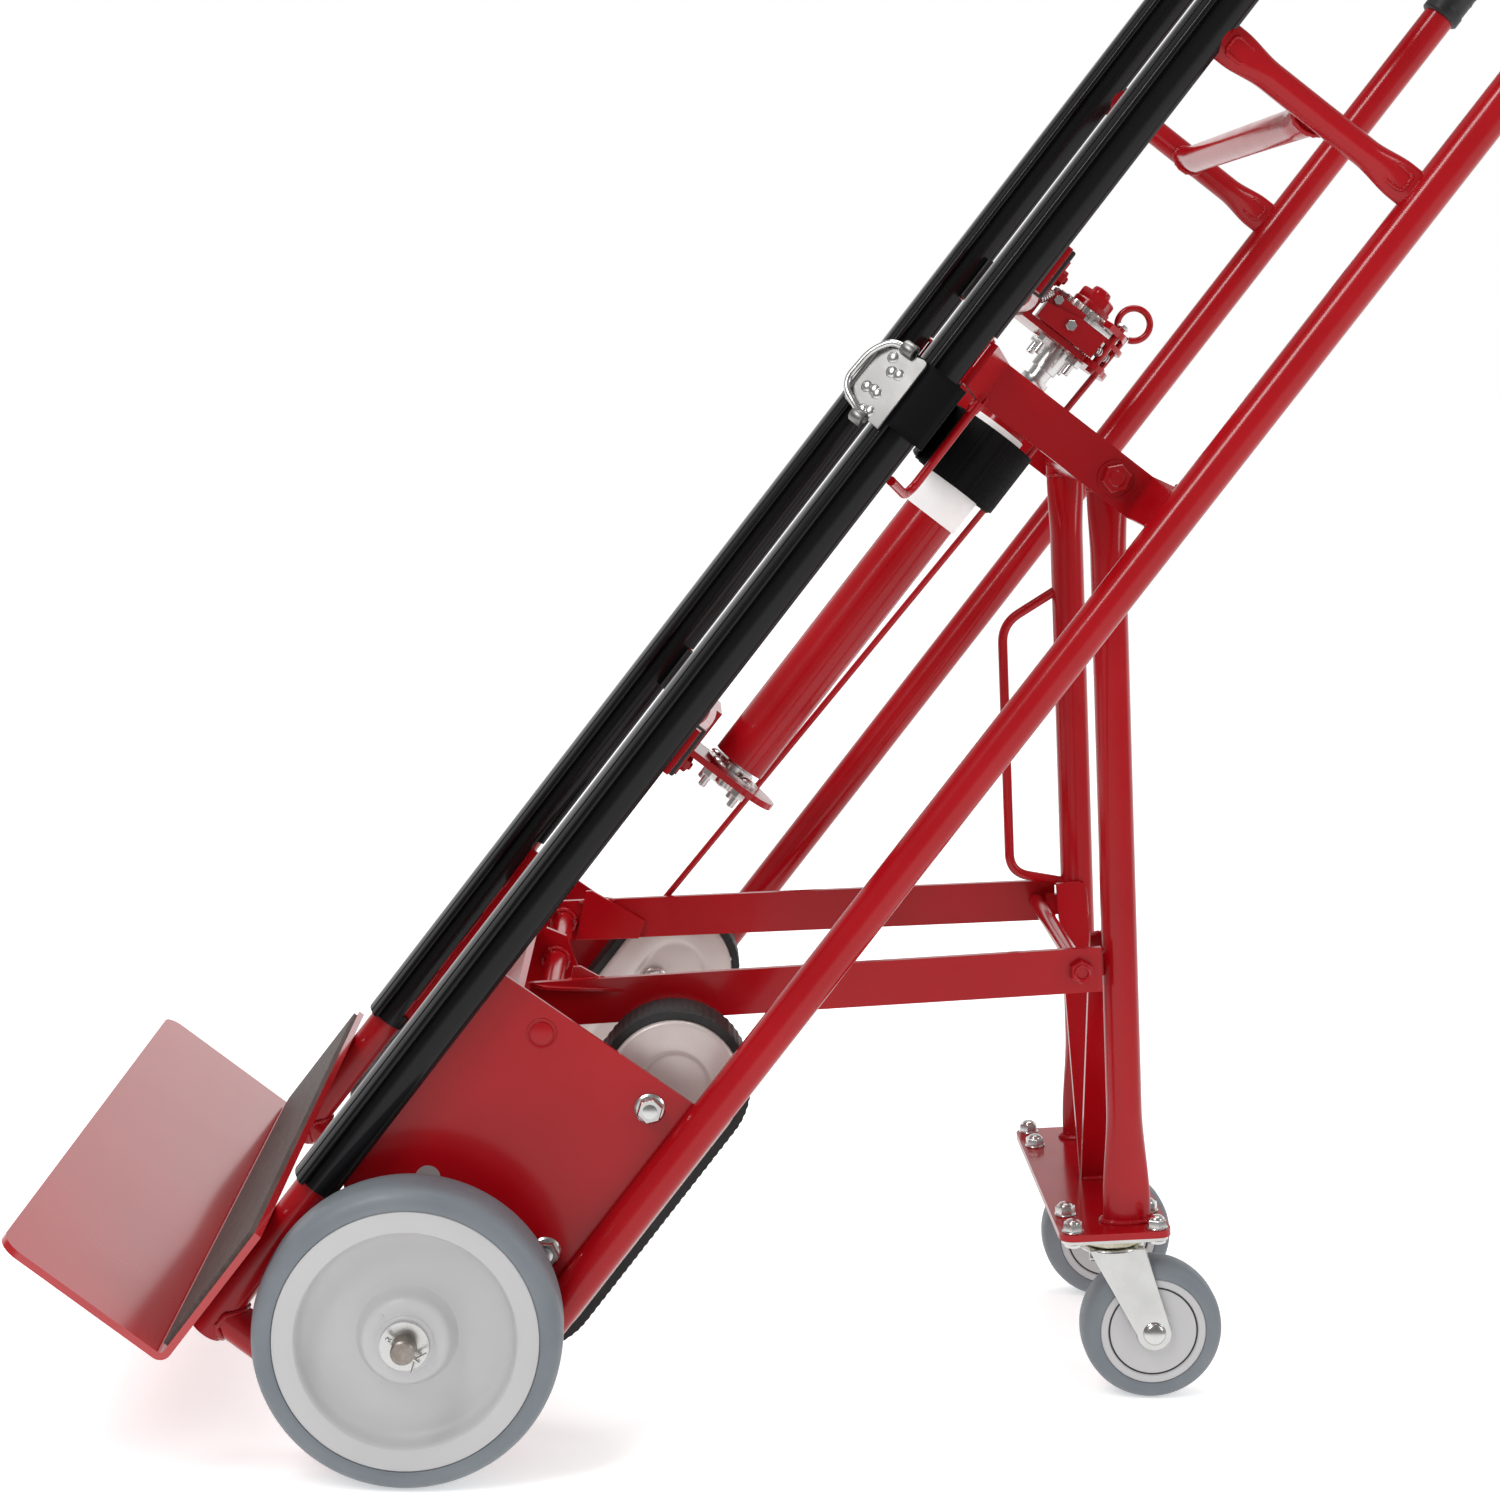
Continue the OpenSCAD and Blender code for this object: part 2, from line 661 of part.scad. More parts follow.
module leg_pivot_tube() color(red) on_leg() difference() {
    half = bracket_y - flat_t / 2 - air;
    rod_y(0, 0, pivot_tube_d, -half, half);
    rod_y(0, 0, pivot_bolt_d + 2 * running, -half - 1, half + 1);
}

module leg(side) color(red) on_leg() difference() {
    translate([0, side * leg_y, 0]) tube_x(3, leg_length - 0.1, leg_d, tube_wall);
    rod_y(0, 0, pivot_tube_d + 2 * weld_gap, -side_y, side_y);
}

// Two flat arms that rise from the middle of the caster plate to the legs' inner sides
v_top = 329;
v_w = 22;
v_front = -18.5;
module leg_v_brace() color(red) on_leg() {
    v_y = leg_y - leg_r - flat_t / 2 - 0.3;
    for (side = [-1, 1]) hull() {
        translate([v_top, side * v_y - flat_t / 2, v_front]) cube([2, flat_t, v_w]);
        translate([leg_length - 2.1, side * 2.3 - flat_t / 2, v_front]) cube([2, flat_t, v_w]);
    }
}

module leg_cross_rod() color(red) on_leg() {
    end = brace_y_leg + flat_t / 2 + 1.2;
    rod_y(brace_s, -brace_n, brace_pin_d, -end - 5, end + 5);
    for (side = [-1, 1]) difference() {
        union() {
            hex_y(brace_s, -brace_n, side > 0 ? end : -end - 6, 6);
            // lug that carries the rod in front of the leg
            translate([brace_s - 8, side * leg_y - 3, 3 - brace_n]) cube([16, 6, brace_n - 9]);
        }
        rod_y(brace_s, -brace_n, brace_pin_d + 0.1, -side_y, side_y);
        translate([0, side * leg_y, 0]) rod_x(0, leg_length, leg_d + 2 * weld_gap);
    }
}

module caster_plate() color(red) on_leg() translate([leg_length, 0, -caster_n])
    rotate([0, 90, 0]) difference() {
        linear_extrude(flat_t) rounded_rectangle(caster_plate_d, caster_plate_w, 10);
        for (p = caster_bolts()) translate([p[0], p[1], -1]) cylinder(d = 8.2, h = flat_t + 2);
        for (side = [-1, 1]) translate([0, side * leg_y, -1]) cylinder(d = kingpin_d + 6, h = flat_t + 2);
    }

module rounded_rectangle(x, y, r) {
    square([x - 2 * r, y], center = true);
    square([x, y - 2 * r], center = true);
    for (i = [-1, 1], j = [-1, 1]) translate([i * (x / 2 - r), j * (y / 2 - r)]) circle(r);
}

// Bolt places of both casters: across the plate, then along it
function caster_bolts() =
    [for (side = [-1, 1], i = [-1, 1], j = [-1, 1]) [i * 30, side * leg_y + j * 18.5]];

// Zinc top plate of each caster, its raceway and its kingpin
module caster_bases() color(steel) on_leg() for (side = [-1, 1])
    translate([leg_length + flat_t + 0.1, side * leg_y, -caster_n]) rotate([0, 90, 0]) difference() {
        union() {
            linear_extrude(caster_base_t) rounded_rectangle(76, 50, 6);
            cylinder(d = 46, h = caster_base_t + 4);
            cylinder(d = kingpin_d, h = 17);
            translate([0, 0, 14]) cylinder(d = 16, h = 3);
        }
        for (i = [-1, 1], j = [-1, 1]) translate([i * 30, j * 18.5, -1]) cylinder(d = 8.2, h = 6);
    }

// Eight bolts with domed nuts on top of the plate
module caster_nuts() color(steel) on_leg() translate([leg_length, 0, -caster_n])
    for (p = caster_bolts()) rotate([0, 90, 0]) translate([p[0], p[1], 0]) {
        translate([0, 0, -7]) cylinder(d = 8, h = flat_t + caster_base_t + 9);
        translate([0, 0, -6.1]) cylinder(d = 14, h = 6, $fn = 6);
        translate([0, 0, -6]) intersection() {
            sphere(d = 12);
            translate([-10, -10, -10]) cube([20, 20, 10]);
        }
        translate([0, 0, flat_t + caster_base_t + 0.2]) cylinder(d = 13, h = 3);
    }

// Handle on the front of the right leg
module lift_handle() color(red) on_leg() difference() {
    side_slab(leg_y - 3.5, 7)
        strip([[104, -leg_r + 1.5], [125, -52.5], [322, -52.5], [330, -leg_r + 1.5]], 7);
    translate([0, leg_y, 0]) rod_x(0, leg_length, leg_d + 2 * weld_gap);
}

// ---- Brace ----

// Flat bar from the legs' cross rod to the latch, which closes in towards the legs
module brace_bar(side) color(red) stand() difference() {
    translate([brace_pin[0], side * brace_y_leg, brace_pin[1]]) rotate([0, -brace_angle, 0])
        rotate([0, 0, side * brace_slant])
            translate([-brace_tail, -flat_t / 2, -brace_w / 2])
                cube([brace_len + brace_tail + 12, flat_t, brace_w]);
    rod_y(brace_pin[0], brace_pin[1], brace_pin_d + 2 * running, -side_y, side_y);
}

module brace_rod() color(red) stand() {
    half = brace_y_front - flat_t / 2 - 0.4;
    difference() {
        rod_y(brace_front[0], brace_front[1], 16.5, -half, half);
        for (side = [-1, 1]) brace_end(side);
    }
}

module brace_end(side)
    translate([brace_pin[0], side * brace_y_leg, brace_pin[1]]) rotate([0, -brace_angle, 0])
        rotate([0, 0, side * brace_slant])
            translate([brace_len - 30, -flat_t / 2 - 0.1, -brace_w])
                cube([60, flat_t + 0.2, 2 * brace_w]);

// Plate on the brace rod, with a hook round the latch bar's lower edge
module latch_hook() color(red) stand() difference() {
    side_slab(-flat_t / 2, flat_t) polygon([
        [192, 247], [188, latch_bar_z - 5.8], [170, latch_bar_z - 2.8], [160, latch_bar_z - 1.4],
        [latch_bar_x0 - air, latch_bar_z - air],
        [latch_bar_x0 - air, latch_bar_z + flat_t + air], [161, latch_bar_z + flat_t + air],
        [158, 281], [140, 281], [143, 262], [160, 217], [173, 217]]);
    rod_y(brace_front[0], brace_front[1], 16.7, -10, 10);
}

// ---- Casters ----

module caster_fork(side) color(steel) on_leg() translate([0, side * leg_y, 0]) {
    head = fork_s;
    difference() {
        union() {
            translate([head, 0, -caster_n]) rotate([0, 90, 0]) cylinder(d = 44, h = 3);
            for (s = [-1, 1])
                side_slab(s > 0 ? fork_gap / 2 : -fork_gap / 2 - fork_t, fork_t) polygon([
                    [head, -caster_n - 18], [head, -caster_n + 21],
                    [caster_s + 6, caster_trail - caster_n + 10],
                    [caster_s + 12, caster_trail - caster_n],
                    [caster_s + 6, caster_trail - caster_n - 10]]);
        }
        translate([head - 1, 0, -caster_n]) rotate([0, 90, 0]) cylinder(d = kingpin_d + 2 * running, h = 6);
        rod_y(caster_s, caster_trail - caster_n, caster_axle_d + 0.1, -40, 40);
    }
    // axle bolt with its head and nut
    end = fork_gap / 2 + fork_t + 0.1;
    rod_y(caster_s, caster_trail - caster_n, caster_axle_d, -end, end);
    rod_y(caster_s, caster_trail - caster_n, 17, end, end + 5);
    rod_y(caster_s, caster_trail - caster_n, 17, -end - 5, -end);
}

module caster_wheel(side) color(grey) on_leg()
    translate([caster_s, side * leg_y, caster_trail - caster_n]) rotate([-90, 0, 0])
        rotate_extrude($fn = 128) {
            bore_r = caster_axle_d / 2 + running;
            tread_outline(caster_r, 36, caster_w, 6);
            translate([bore_r, -caster_w / 2 - 0.8]) square([9, caster_w + 1.6]);
            translate([bore_r, -9]) square([36 - bore_r, 18]);
        }

// ---- Assembly ----

toe_plate();
toe_pad();
front_rail(-1);  // front_rail_left
front_rail(1);  // front_rail_right
rear_rail(-1);  // rear_rail_left
rear_rail(1);  // rear_rail_right
handle_bend(-1);  // handle_bend_left
handle_bend(1);  // handle_bend_right
foot_bends();
grip(-1);  // grip_left
grip(1);  // grip_right
rail_guard(-1);  // rail_guard_left
rail_guard(1);  // rail_guard_right
crossbars();
latch_bar();
upper_links();
side_plate(-1);  // side_plate_left
side_plate(1);  // side_plate_right
axle();
axle_washers();
climber_shells();
climber_belts();
climber_bolts();
leg_bracket(-1);  // leg_bracket_left
leg_bracket(1);  // leg_bracket_right
leg_pivot_bolts();
strap_guide();
lower_bracket();
roller_bearings();
head_bracket();
pawl();
strap();
strap_hook();
strap_tube();
strap_sleeve();
strap_roll();
roller_shaft();
ratchet_gear();
release_rod();
leg_pivot_tube();
leg(-1);  // leg_left
leg(1);  // leg_right
leg_v_brace();
leg_cross_rod();
caster_plate();
lift_handle();
caster_bases();
caster_nuts();
brace_bar(-1);  // brace_bar_left
brace_bar(1);  // brace_bar_right
brace_rod();
latch_hook();
caster_fork(-1);  // caster_fork_left
caster_fork(1);  // caster_fork_right
caster_wheel(-1);  // caster_wheel_left
caster_wheel(1);  // caster_wheel_right
wheel_tyre(-1);  // wheel_tyre_left
wheel_tyre(1);  // wheel_tyre_right
wheel_hub(-1);  // wheel_hub_left
wheel_hub(1);  // wheel_hub_right
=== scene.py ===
"""Looks of the four-wheel appliance hand truck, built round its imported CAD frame."""

import json
import random
from math import acos, asin, atan2, cos, hypot, pi, radians, sin, sqrt, tau

import bmesh
import bpy
from mathutils import Matrix, Vector
from mathutils.geometry import tessellate_polygon


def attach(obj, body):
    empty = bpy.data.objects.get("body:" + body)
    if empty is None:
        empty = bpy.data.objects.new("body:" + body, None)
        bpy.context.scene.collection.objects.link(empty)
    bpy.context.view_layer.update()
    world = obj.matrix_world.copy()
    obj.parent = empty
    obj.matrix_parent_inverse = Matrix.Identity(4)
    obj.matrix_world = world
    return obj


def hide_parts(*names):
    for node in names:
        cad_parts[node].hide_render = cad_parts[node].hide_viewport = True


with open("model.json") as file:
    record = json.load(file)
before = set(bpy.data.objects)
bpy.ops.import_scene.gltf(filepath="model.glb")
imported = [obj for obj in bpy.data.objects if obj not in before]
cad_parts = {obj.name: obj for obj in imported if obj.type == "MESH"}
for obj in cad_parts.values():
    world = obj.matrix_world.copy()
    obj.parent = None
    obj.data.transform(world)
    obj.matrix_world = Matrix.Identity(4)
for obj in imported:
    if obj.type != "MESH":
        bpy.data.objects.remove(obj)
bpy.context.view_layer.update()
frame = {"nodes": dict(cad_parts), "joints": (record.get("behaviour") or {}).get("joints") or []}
random.seed(11)

# ---------------------------------------------------------------- frames
# The rail frame is in millimetres: x up the rails, y across, z towards the load.
joints = {j["name"]: j for j in frame["joints"]}
ALONG = Vector(joints["strap_wind"]["axis"]).normalized()
LEAN = atan2(ALONG.z, ALONG.x)
PIVOT = Vector((703, 0, 155))
LEG_ANGLE = radians(39.9)
TURN = Matrix.Rotation(-LEAN, 4, "Y")
ORIGIN = Vector(joints["leg_fold"]["pos_m"]) - TURN @ (PIVOT * 0.001)
RAIL = Matrix.Translation(ORIGIN) @ TURN @ Matrix.Scale(0.001, 4)
# The leg frame: x down the leg, y across, z rearwards
LEG = RAIL @ Matrix.Translation(PIVOT) @ Matrix.Rotation(pi - LEG_ANGLE, 4, "Y")
SIDES = (("left", -1), ("right", 1))

SIDE_Y, FRONT_Z, REAR_Z, RAIL_R = 215, 300, 119, 13
TOP_X, BEND_R = 1288.5, 90.5
AXLE_X, AXLE_Z, WHEEL_Y = -25.7, 197.5, 259
ROLLER_Z = 224
LEG_Y, LEG_LENGTH, CASTER_N = 100, 537.5, 12
CASTER_S, TRAIL = 615.3, 26.4
CROSSBARS_X, LINK_X, LINK_TUBE_X, LINK_TUBE_Z = (381, 781, 1181), 965, 962, 210
PLUG_X, PLUG_Z = 173, 242  # the brace rod's place too
ROD_S, ROD_N, BAR_Y = 348.5, 30.7, 116.2  # cross rod in the leg frame, brace bar at the legs


def moved(x, y, z):
    return Matrix.Translation((x, y, z))


def along_y(x, y, z, flip=1):
    """Place of a turned piece whose axis runs across the truck."""
    return moved(x, y, z) @ Matrix.Rotation(-flip * pi / 2, 4, "X")


def along_x(x, y, z, flip=1):
    """Place of a turned piece whose axis runs along x."""
    return moved(x, y, z) @ Matrix.Rotation(flip * pi / 2, 4, "Y")


def side_plane(y):
    """Place of an outline drawn in x and z that is extruded towards +y."""
    return moved(0, y, 0) @ Matrix(((1, 0, 0, 0), (0, 0, 1, 0), (0, 1, 0, 0), (0, 0, 0, 1)))


def raised(place, height):
    return place @ moved(0, 0, height)


def loosely_turned(place):
    """Nuts don't stop at the same angle."""
    return place @ Matrix.Rotation(random.uniform(0, 1), 4, "Z")


# ---------------------------------------------------------------- mesh tools
def circle(r, n, start=0.0, sweep=tau):
    """Points round a circle, or from end to end of an arc."""
    steps = n if abs(sweep - tau) < 1e-9 else n - 1
    angles = [start + sweep * i / steps for i in range(n)]
    return [(r * cos(a), r * sin(a)) for a in angles]


def fillet(points, radius, steps=7):
    """A path or outline with its inner corners rounded."""
    points = [Vector(p) for p in points]
    out = [points[0]]
    for a, b, c in zip(points, points[1:], points[2:]):
        ba, bc = (a - b), (c - b)
        cut = min(radius, ba.length * 0.49, bc.length * 0.49)
        p, q = b + ba.normalized() * cut, b + bc.normalized() * cut
        for i in range(steps + 1):
            t = i / steps
            out.append((1 - t) ** 2 * p + 2 * t * (1 - t) * b + t * t * q)
    return out + [points[-1]]


def ease(t):
    """Goes smoothly from 0 to 1 as t does, and stays level outside."""
    t = max(0.0, min(1.0, t))
    return t * t * (3 - 2 * t)


def resample(points, step):
    out = [points[0]]
    for a, b in zip(points, points[1:]):
        n = max(1, int((b - a).length / step))
        out += [a.lerp(b, (i + 1) / n) for i in range(n)]
    return out


class Shape:
    """Vertices and faces gathered in one local frame, in millimetres."""

    def __init__(self):
        self.verts, self.faces = [], []

    def add(self, verts, faces, place=None):
        base = len(self.verts)
        self.verts += [place @ Vector(v) if place else Vector(v) for v in verts]
        self.faces += [[base + i for i in f] for f in faces]
        return self

    def skin(self, rings, closed=False, caps=True, place=None):
        n, count = len(rings[0]), len(rings)
        faces = []
        for i in range(count if closed else count - 1):
            a, b = i * n, ((i + 1) % count) * n
            faces += [[a + j, a + (j + 1) % n, b + (j + 1) % n, b + j] for j in range(n)]
        if caps and not closed:
            faces += [list(range(n))[::-1], [(count - 1) * n + j for j in range(n)]]
        return self.add([v for r in rings for v in r], faces, place)

    def sweep(self, path, radius, sides=20, side=(0, 1, 0), closed=False, place=None):
        """A round or flattened section along a path. radius holds one value a point, or pairs:
        half width along `side`, half width square to it."""
        path = [Vector(p) for p in path]
        n = len(path)
        if not isinstance(radius, list):
            radius = [radius] * n
        rings, normal = [], Vector(side)
        for i, p in enumerate(path):
            a, b = path[(i - 1) % n] if closed or i else p, path[(i + 1) % n] if closed or i < n - 1 else p
            t = (b - a).normalized()
            normal = (normal - t * normal.dot(t)).normalized()
            other = t.cross(normal)
            ra, rb = radius[i] if isinstance(radius[i], tuple) else (radius[i], radius[i])
            rings.append([p + normal * (ra * x) + other * (rb * y) for x, y in circle(1, sides)])
        return self.skin(rings, closed, True, place)

    def lathe(self, profile, place, sides=48, closed=True):
        """A turned piece. The profile holds radius and height along the local z axis."""
        rings = [[(r * x, r * y, h) for x, y in circle(1, sides)] for r, h in profile]
        return self.skin(rings, closed, False, place)

    def prism(self, outline, place, height, holes=()):
        loops = [list(outline)] + [list(h) for h in holes]
        flat = [Vector((p[0], p[1], 0)) for loop in loops for p in loop]
        triangles = tessellate_polygon([[Vector((p[0], p[1], 0)) for p in loop] for loop in loops])
        n = len(flat)
        verts = flat + [v + Vector((0, 0, height)) for v in flat]
        if holes:
            faces = [list(t)[::-1] for t in triangles] + [[i + n for i in t] for t in triangles]
        else:
            faces = [list(range(n))[::-1], [i + n for i in range(n)]]
        base = 0
        for loop in loops:
            m = len(loop)
            faces += [[base + i, base + (i + 1) % m, base + (i + 1) % m + n, base + i + n] for i in range(m)]
            base += m
        return self.add(verts, faces, place)

    def hexagon(self, place, across, height, edge=1.1):
        r = across / sqrt(3)
        ring = circle(r, 6)
        rings = [[(x, y, 0) for x, y in ring], [(x, y, height - edge) for x, y in ring]]
        for k, z in ((0.965, height - edge * 0.4), (0.9, height)):
            rings.append([(x * k, y * k, z) for x, y in ring])
        return self.skin(rings, place=place)

    def bead(self, path, r=1.8, closed=False, place=None):
        """A weld bead: a rippled, uneven cord of metal along a joint."""
        path = resample([Vector(p) for p in path], 1.1)
        radius = [r * (0.8 + 0.34 * sin(i * 1.35) ** 2 + random.uniform(-0.13, 0.13))
                  for i in range(len(path))]
        if not closed:
            for k in range(min(3, len(radius) // 2)):
                radius[k] *= 0.45 + 0.2 * k
                radius[-1 - k] *= 0.45 + 0.2 * k
        return self.sweep(path, radius, 8, closed=closed, place=place)

    def build(self, name, paint, replaces=(), smooth=38, bevel=0.0, space=RAIL, body="frame"):
        mesh = bpy.data.meshes.new(name)
        mesh.from_pydata([tuple(v) for v in self.verts], [], self.faces)
        mesh.transform(space)
        bm = bmesh.new()
        bm.from_mesh(mesh)
        bmesh.ops.remove_doubles(bm, verts=bm.verts, dist=1e-6)
        bmesh.ops.recalc_face_normals(bm, faces=bm.faces)
        bm.to_mesh(mesh)
        bm.free()
        obj = bpy.data.objects.new(name, mesh)
        bpy.context.scene.collection.objects.link(obj)
        dress(obj, paint, smooth, bevel)
        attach(obj, body)
        if replaces:
            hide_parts(*replaces)
        return obj


def dress(obj, paint, smooth=38, bevel=0.0):
    """Material, shading and edge rounding of a piece or a CAD node."""
    mesh = obj.data
    mesh.materials.clear()
    mesh.materials.append(PAINTS[paint].material)
    for polygon in mesh.polygons:
        polygon.use_smooth = True
    mesh.set_sharp_from_angle(angle=radians(smooth))
    if bevel:
        edge = obj.modifiers.new("Edges", "BEVEL")
        edge.width, edge.segments = bevel * 0.001, 3
        edge.limit_method, edge.angle_limit = "ANGLE", radians(40)
        edge.harden_normals = True
        edge.use_clamp_overlap = True


def carve(obj, cutter, space):
    """Cuts a shape out of a piece."""
    mesh = bpy.data.meshes.new("cutter")
    mesh.from_pydata([tuple(v) for v in cutter.verts], [], cutter.faces)
    mesh.transform(space)
    tool = bpy.data.objects.new("cutter", mesh)
    bpy.context.scene.collection.objects.link(tool)
    step = obj.modifiers.new("Carve", "BOOLEAN")
    step.operation, step.object, step.solver = "DIFFERENCE", tool, "EXACT"
    step.use_self = True
    bpy.context.view_layer.update()
    done = bpy.data.meshes.new_from_object(obj.evaluated_get(bpy.context.evaluated_depsgraph_get()))
    obj.modifiers.remove(step)
    obj.data = done
    bpy.data.objects.remove(tool)


# outlines drawn in y and z, extruded up the rails
UPRIGHT = Matrix(((0, 0, 1, 0), (1, 0, 0, 0), (0, 1, 0, 0), (0, 0, 0, 1)))


def box(x0, x1, y0, y1, z0, z1):
    """A cutter box."""
    outline = [(x0, y0), (x1, y0), (x1, y1), (x0, y1)]
    return outline, moved(0, 0, z0), z1 - z0


# ---------------------------------------------------------------- materials
class Tree:
    """A shader's nodes. In node(), lower-case names set the node itself and the others its sockets."""

    def __init__(self, owner):
        owner.use_nodes = True
        self.tree = owner.node_tree

    def node(self, kind, **values):
        made = self.tree.nodes.new(kind)
        for key, value in values.items():
            if key.islower():
                setattr(made, key, value)
            else:
                made.inputs[key.replace("_", " ")].default_value = value
        return made

    def link(self, a, b):
        self.tree.links.new(a, b)

    def ramp(self, source, low, high, a, b, shape="LINEAR"):
        """Goes from a to b as the source goes from low to high."""
        made = self.node("ShaderNodeMapRange", interpolation_type=shape,
                         From_Min=low, From_Max=high, To_Min=a, To_Max=b)
        self.link(source, made.inputs["Value"])
        return made.outputs["Result"]

    def joined(self, operation, a, b):
        made = self.node("ShaderNodeMath", operation=operation)
        self.link(a, made.inputs[0])
        self.link(b, made.inputs[1])
        return made.outputs[0]


class Paint(Tree):
    """A Principled material with helpers for procedural detail in the rail frame."""

    def __init__(self, name, base, roughness, metallic=0.0, **sockets):
        self.material = bpy.data.materials.new(name)
        super().__init__(self.material)
        self.bsdf = self.tree.nodes["Principled BSDF"]
        sockets |= {"Base_Color": (*base, 1), "Roughness": roughness, "Metallic": metallic}
        for key, value in sockets.items():
            self.bsdf.inputs[key.replace("_", " ")].default_value = value
        place = self.node("ShaderNodeTexCoord")
        turned = self.node("ShaderNodeMapping", Rotation=(0, LEAN, 0))
        self.link(place.outputs["Object"], turned.inputs["Vector"])
        self.place = turned.outputs["Vector"]
        self.normal = None

    def noise(self, scale, detail, rough=0.5, stretch=(1, 1, 1)):
        made = self.node("ShaderNodeTexNoise", Scale=scale, Detail=detail, Roughness=rough)
        stretched = self.node("ShaderNodeMapping", Scale=stretch)
        self.link(self.place, stretched.inputs["Vector"])
        self.link(stretched.outputs["Vector"], made.inputs["Vector"])
        return made.outputs["Fac"]

    def wave(self, scale, direction, distortion):
        made = self.node("ShaderNodeTexWave", bands_direction=direction, Scale=scale,
                         Distortion=distortion, Detail_Scale=2)
        self.link(self.place, made.inputs["Vector"])
        return made.outputs["Fac"]

    def colour(self, source, low, high, first, second):
        """Base colour that goes from first to second as the source goes from low to high."""
        made = self.node("ShaderNodeValToRGB")
        for element, position, colour in zip(made.color_ramp.elements, (low, high), (first, second)):
            element.position, element.color = position, (*colour, 1)
        self.link(source, made.inputs["Fac"])
        self.link(made.outputs["Color"], self.bsdf.inputs["Base Color"])

    def tint(self, source, low, high, colour):
        """Mixes another colour over the base colour where the source is high."""
        mix = self.node("ShaderNodeMix", data_type="RGBA")
        now = self.bsdf.inputs["Base Color"]
        self.link(now.links[0].from_socket, mix.inputs[6])
        mix.inputs[7].default_value = (*colour, 1)
        self.link(self.ramp(source, low, high, 0, 1), mix.inputs[0])
        self.link(mix.outputs[2], now)

    def roughness(self, source, a, b):
        self.link(self.ramp(source, 0.3, 0.7, a, b), self.bsdf.inputs["Roughness"])

    def bump(self, source, distance, strength):
        """Adds relief; distance is in millimetres."""
        made = self.node("ShaderNodeBump", Distance=distance * 0.001, Strength=strength)
        self.link(source, made.inputs["Height"])
        if self.normal:
            self.link(self.normal, made.inputs["Normal"])
        self.normal = made.outputs["Normal"]
        self.link(self.normal, self.bsdf.inputs["Normal"])


def paint(name, base, roughness, colour, rough, relief, wear=None, metallic=0.0, **sockets):
    """A material whose colour, worn spots, roughness and relief each follow a noise, given first
    by its scale, detail and so on. Relief then has a height in millimetres and a strength."""
    made = Paint(name, base, roughness, metallic, **sockets)
    made.colour(made.noise(*colour[0]), *colour[1:])
    if wear:
        made.tint(made.noise(*wear[0]), *wear[1:])
    made.roughness(made.noise(*rough[0]), *rough[1:])
    made.bump(made.noise(*relief[0]), *relief[1:])
    return made


def extruded_vinyl():
    vinyl = Paint("black_vinyl", (0.007, 0.007, 0.008), 0.17, Specular_IOR_Level=0.28)
    grain = vinyl.noise(1500, 4, 0.6, (0.018, 1, 1))
    streaks = vinyl.noise(14, 4, 0.55, (0.25, 1, 1))
    vinyl.colour(streaks, 0.3, 0.75, (0.0035, 0.0035, 0.004), (0.0065, 0.0065, 0.007))
    vinyl.tint(vinyl.noise(700, 5, 0.7, (0.05, 1, 1)), 0.70, 0.85, (0.016, 0.016, 0.017))
    vinyl.roughness(grain, 0.12, 0.20)
    vinyl.bump(grain, 0.01, 0.2)
    return vinyl


def woven_webbing():
    web = Paint("strap_webbing", (0.004, 0.004, 0.004), 0.62, Specular_IOR_Level=0.12)
    weave = web.joined("MULTIPLY", web.wave(240, "X", 0.6), web.wave(300, "Y", 0.6))
    web.colour(weave, 0.05, 0.6, (0.0022, 0.0022, 0.0024), (0.0065, 0.0065, 0.0068))
    web.roughness(web.noise(700, 3), 0.5, 0.75)
    web.bump(weave, 0.25, 0.6)
    web.bump(web.noise(2200, 2), 0.06, 0.5)
    return web


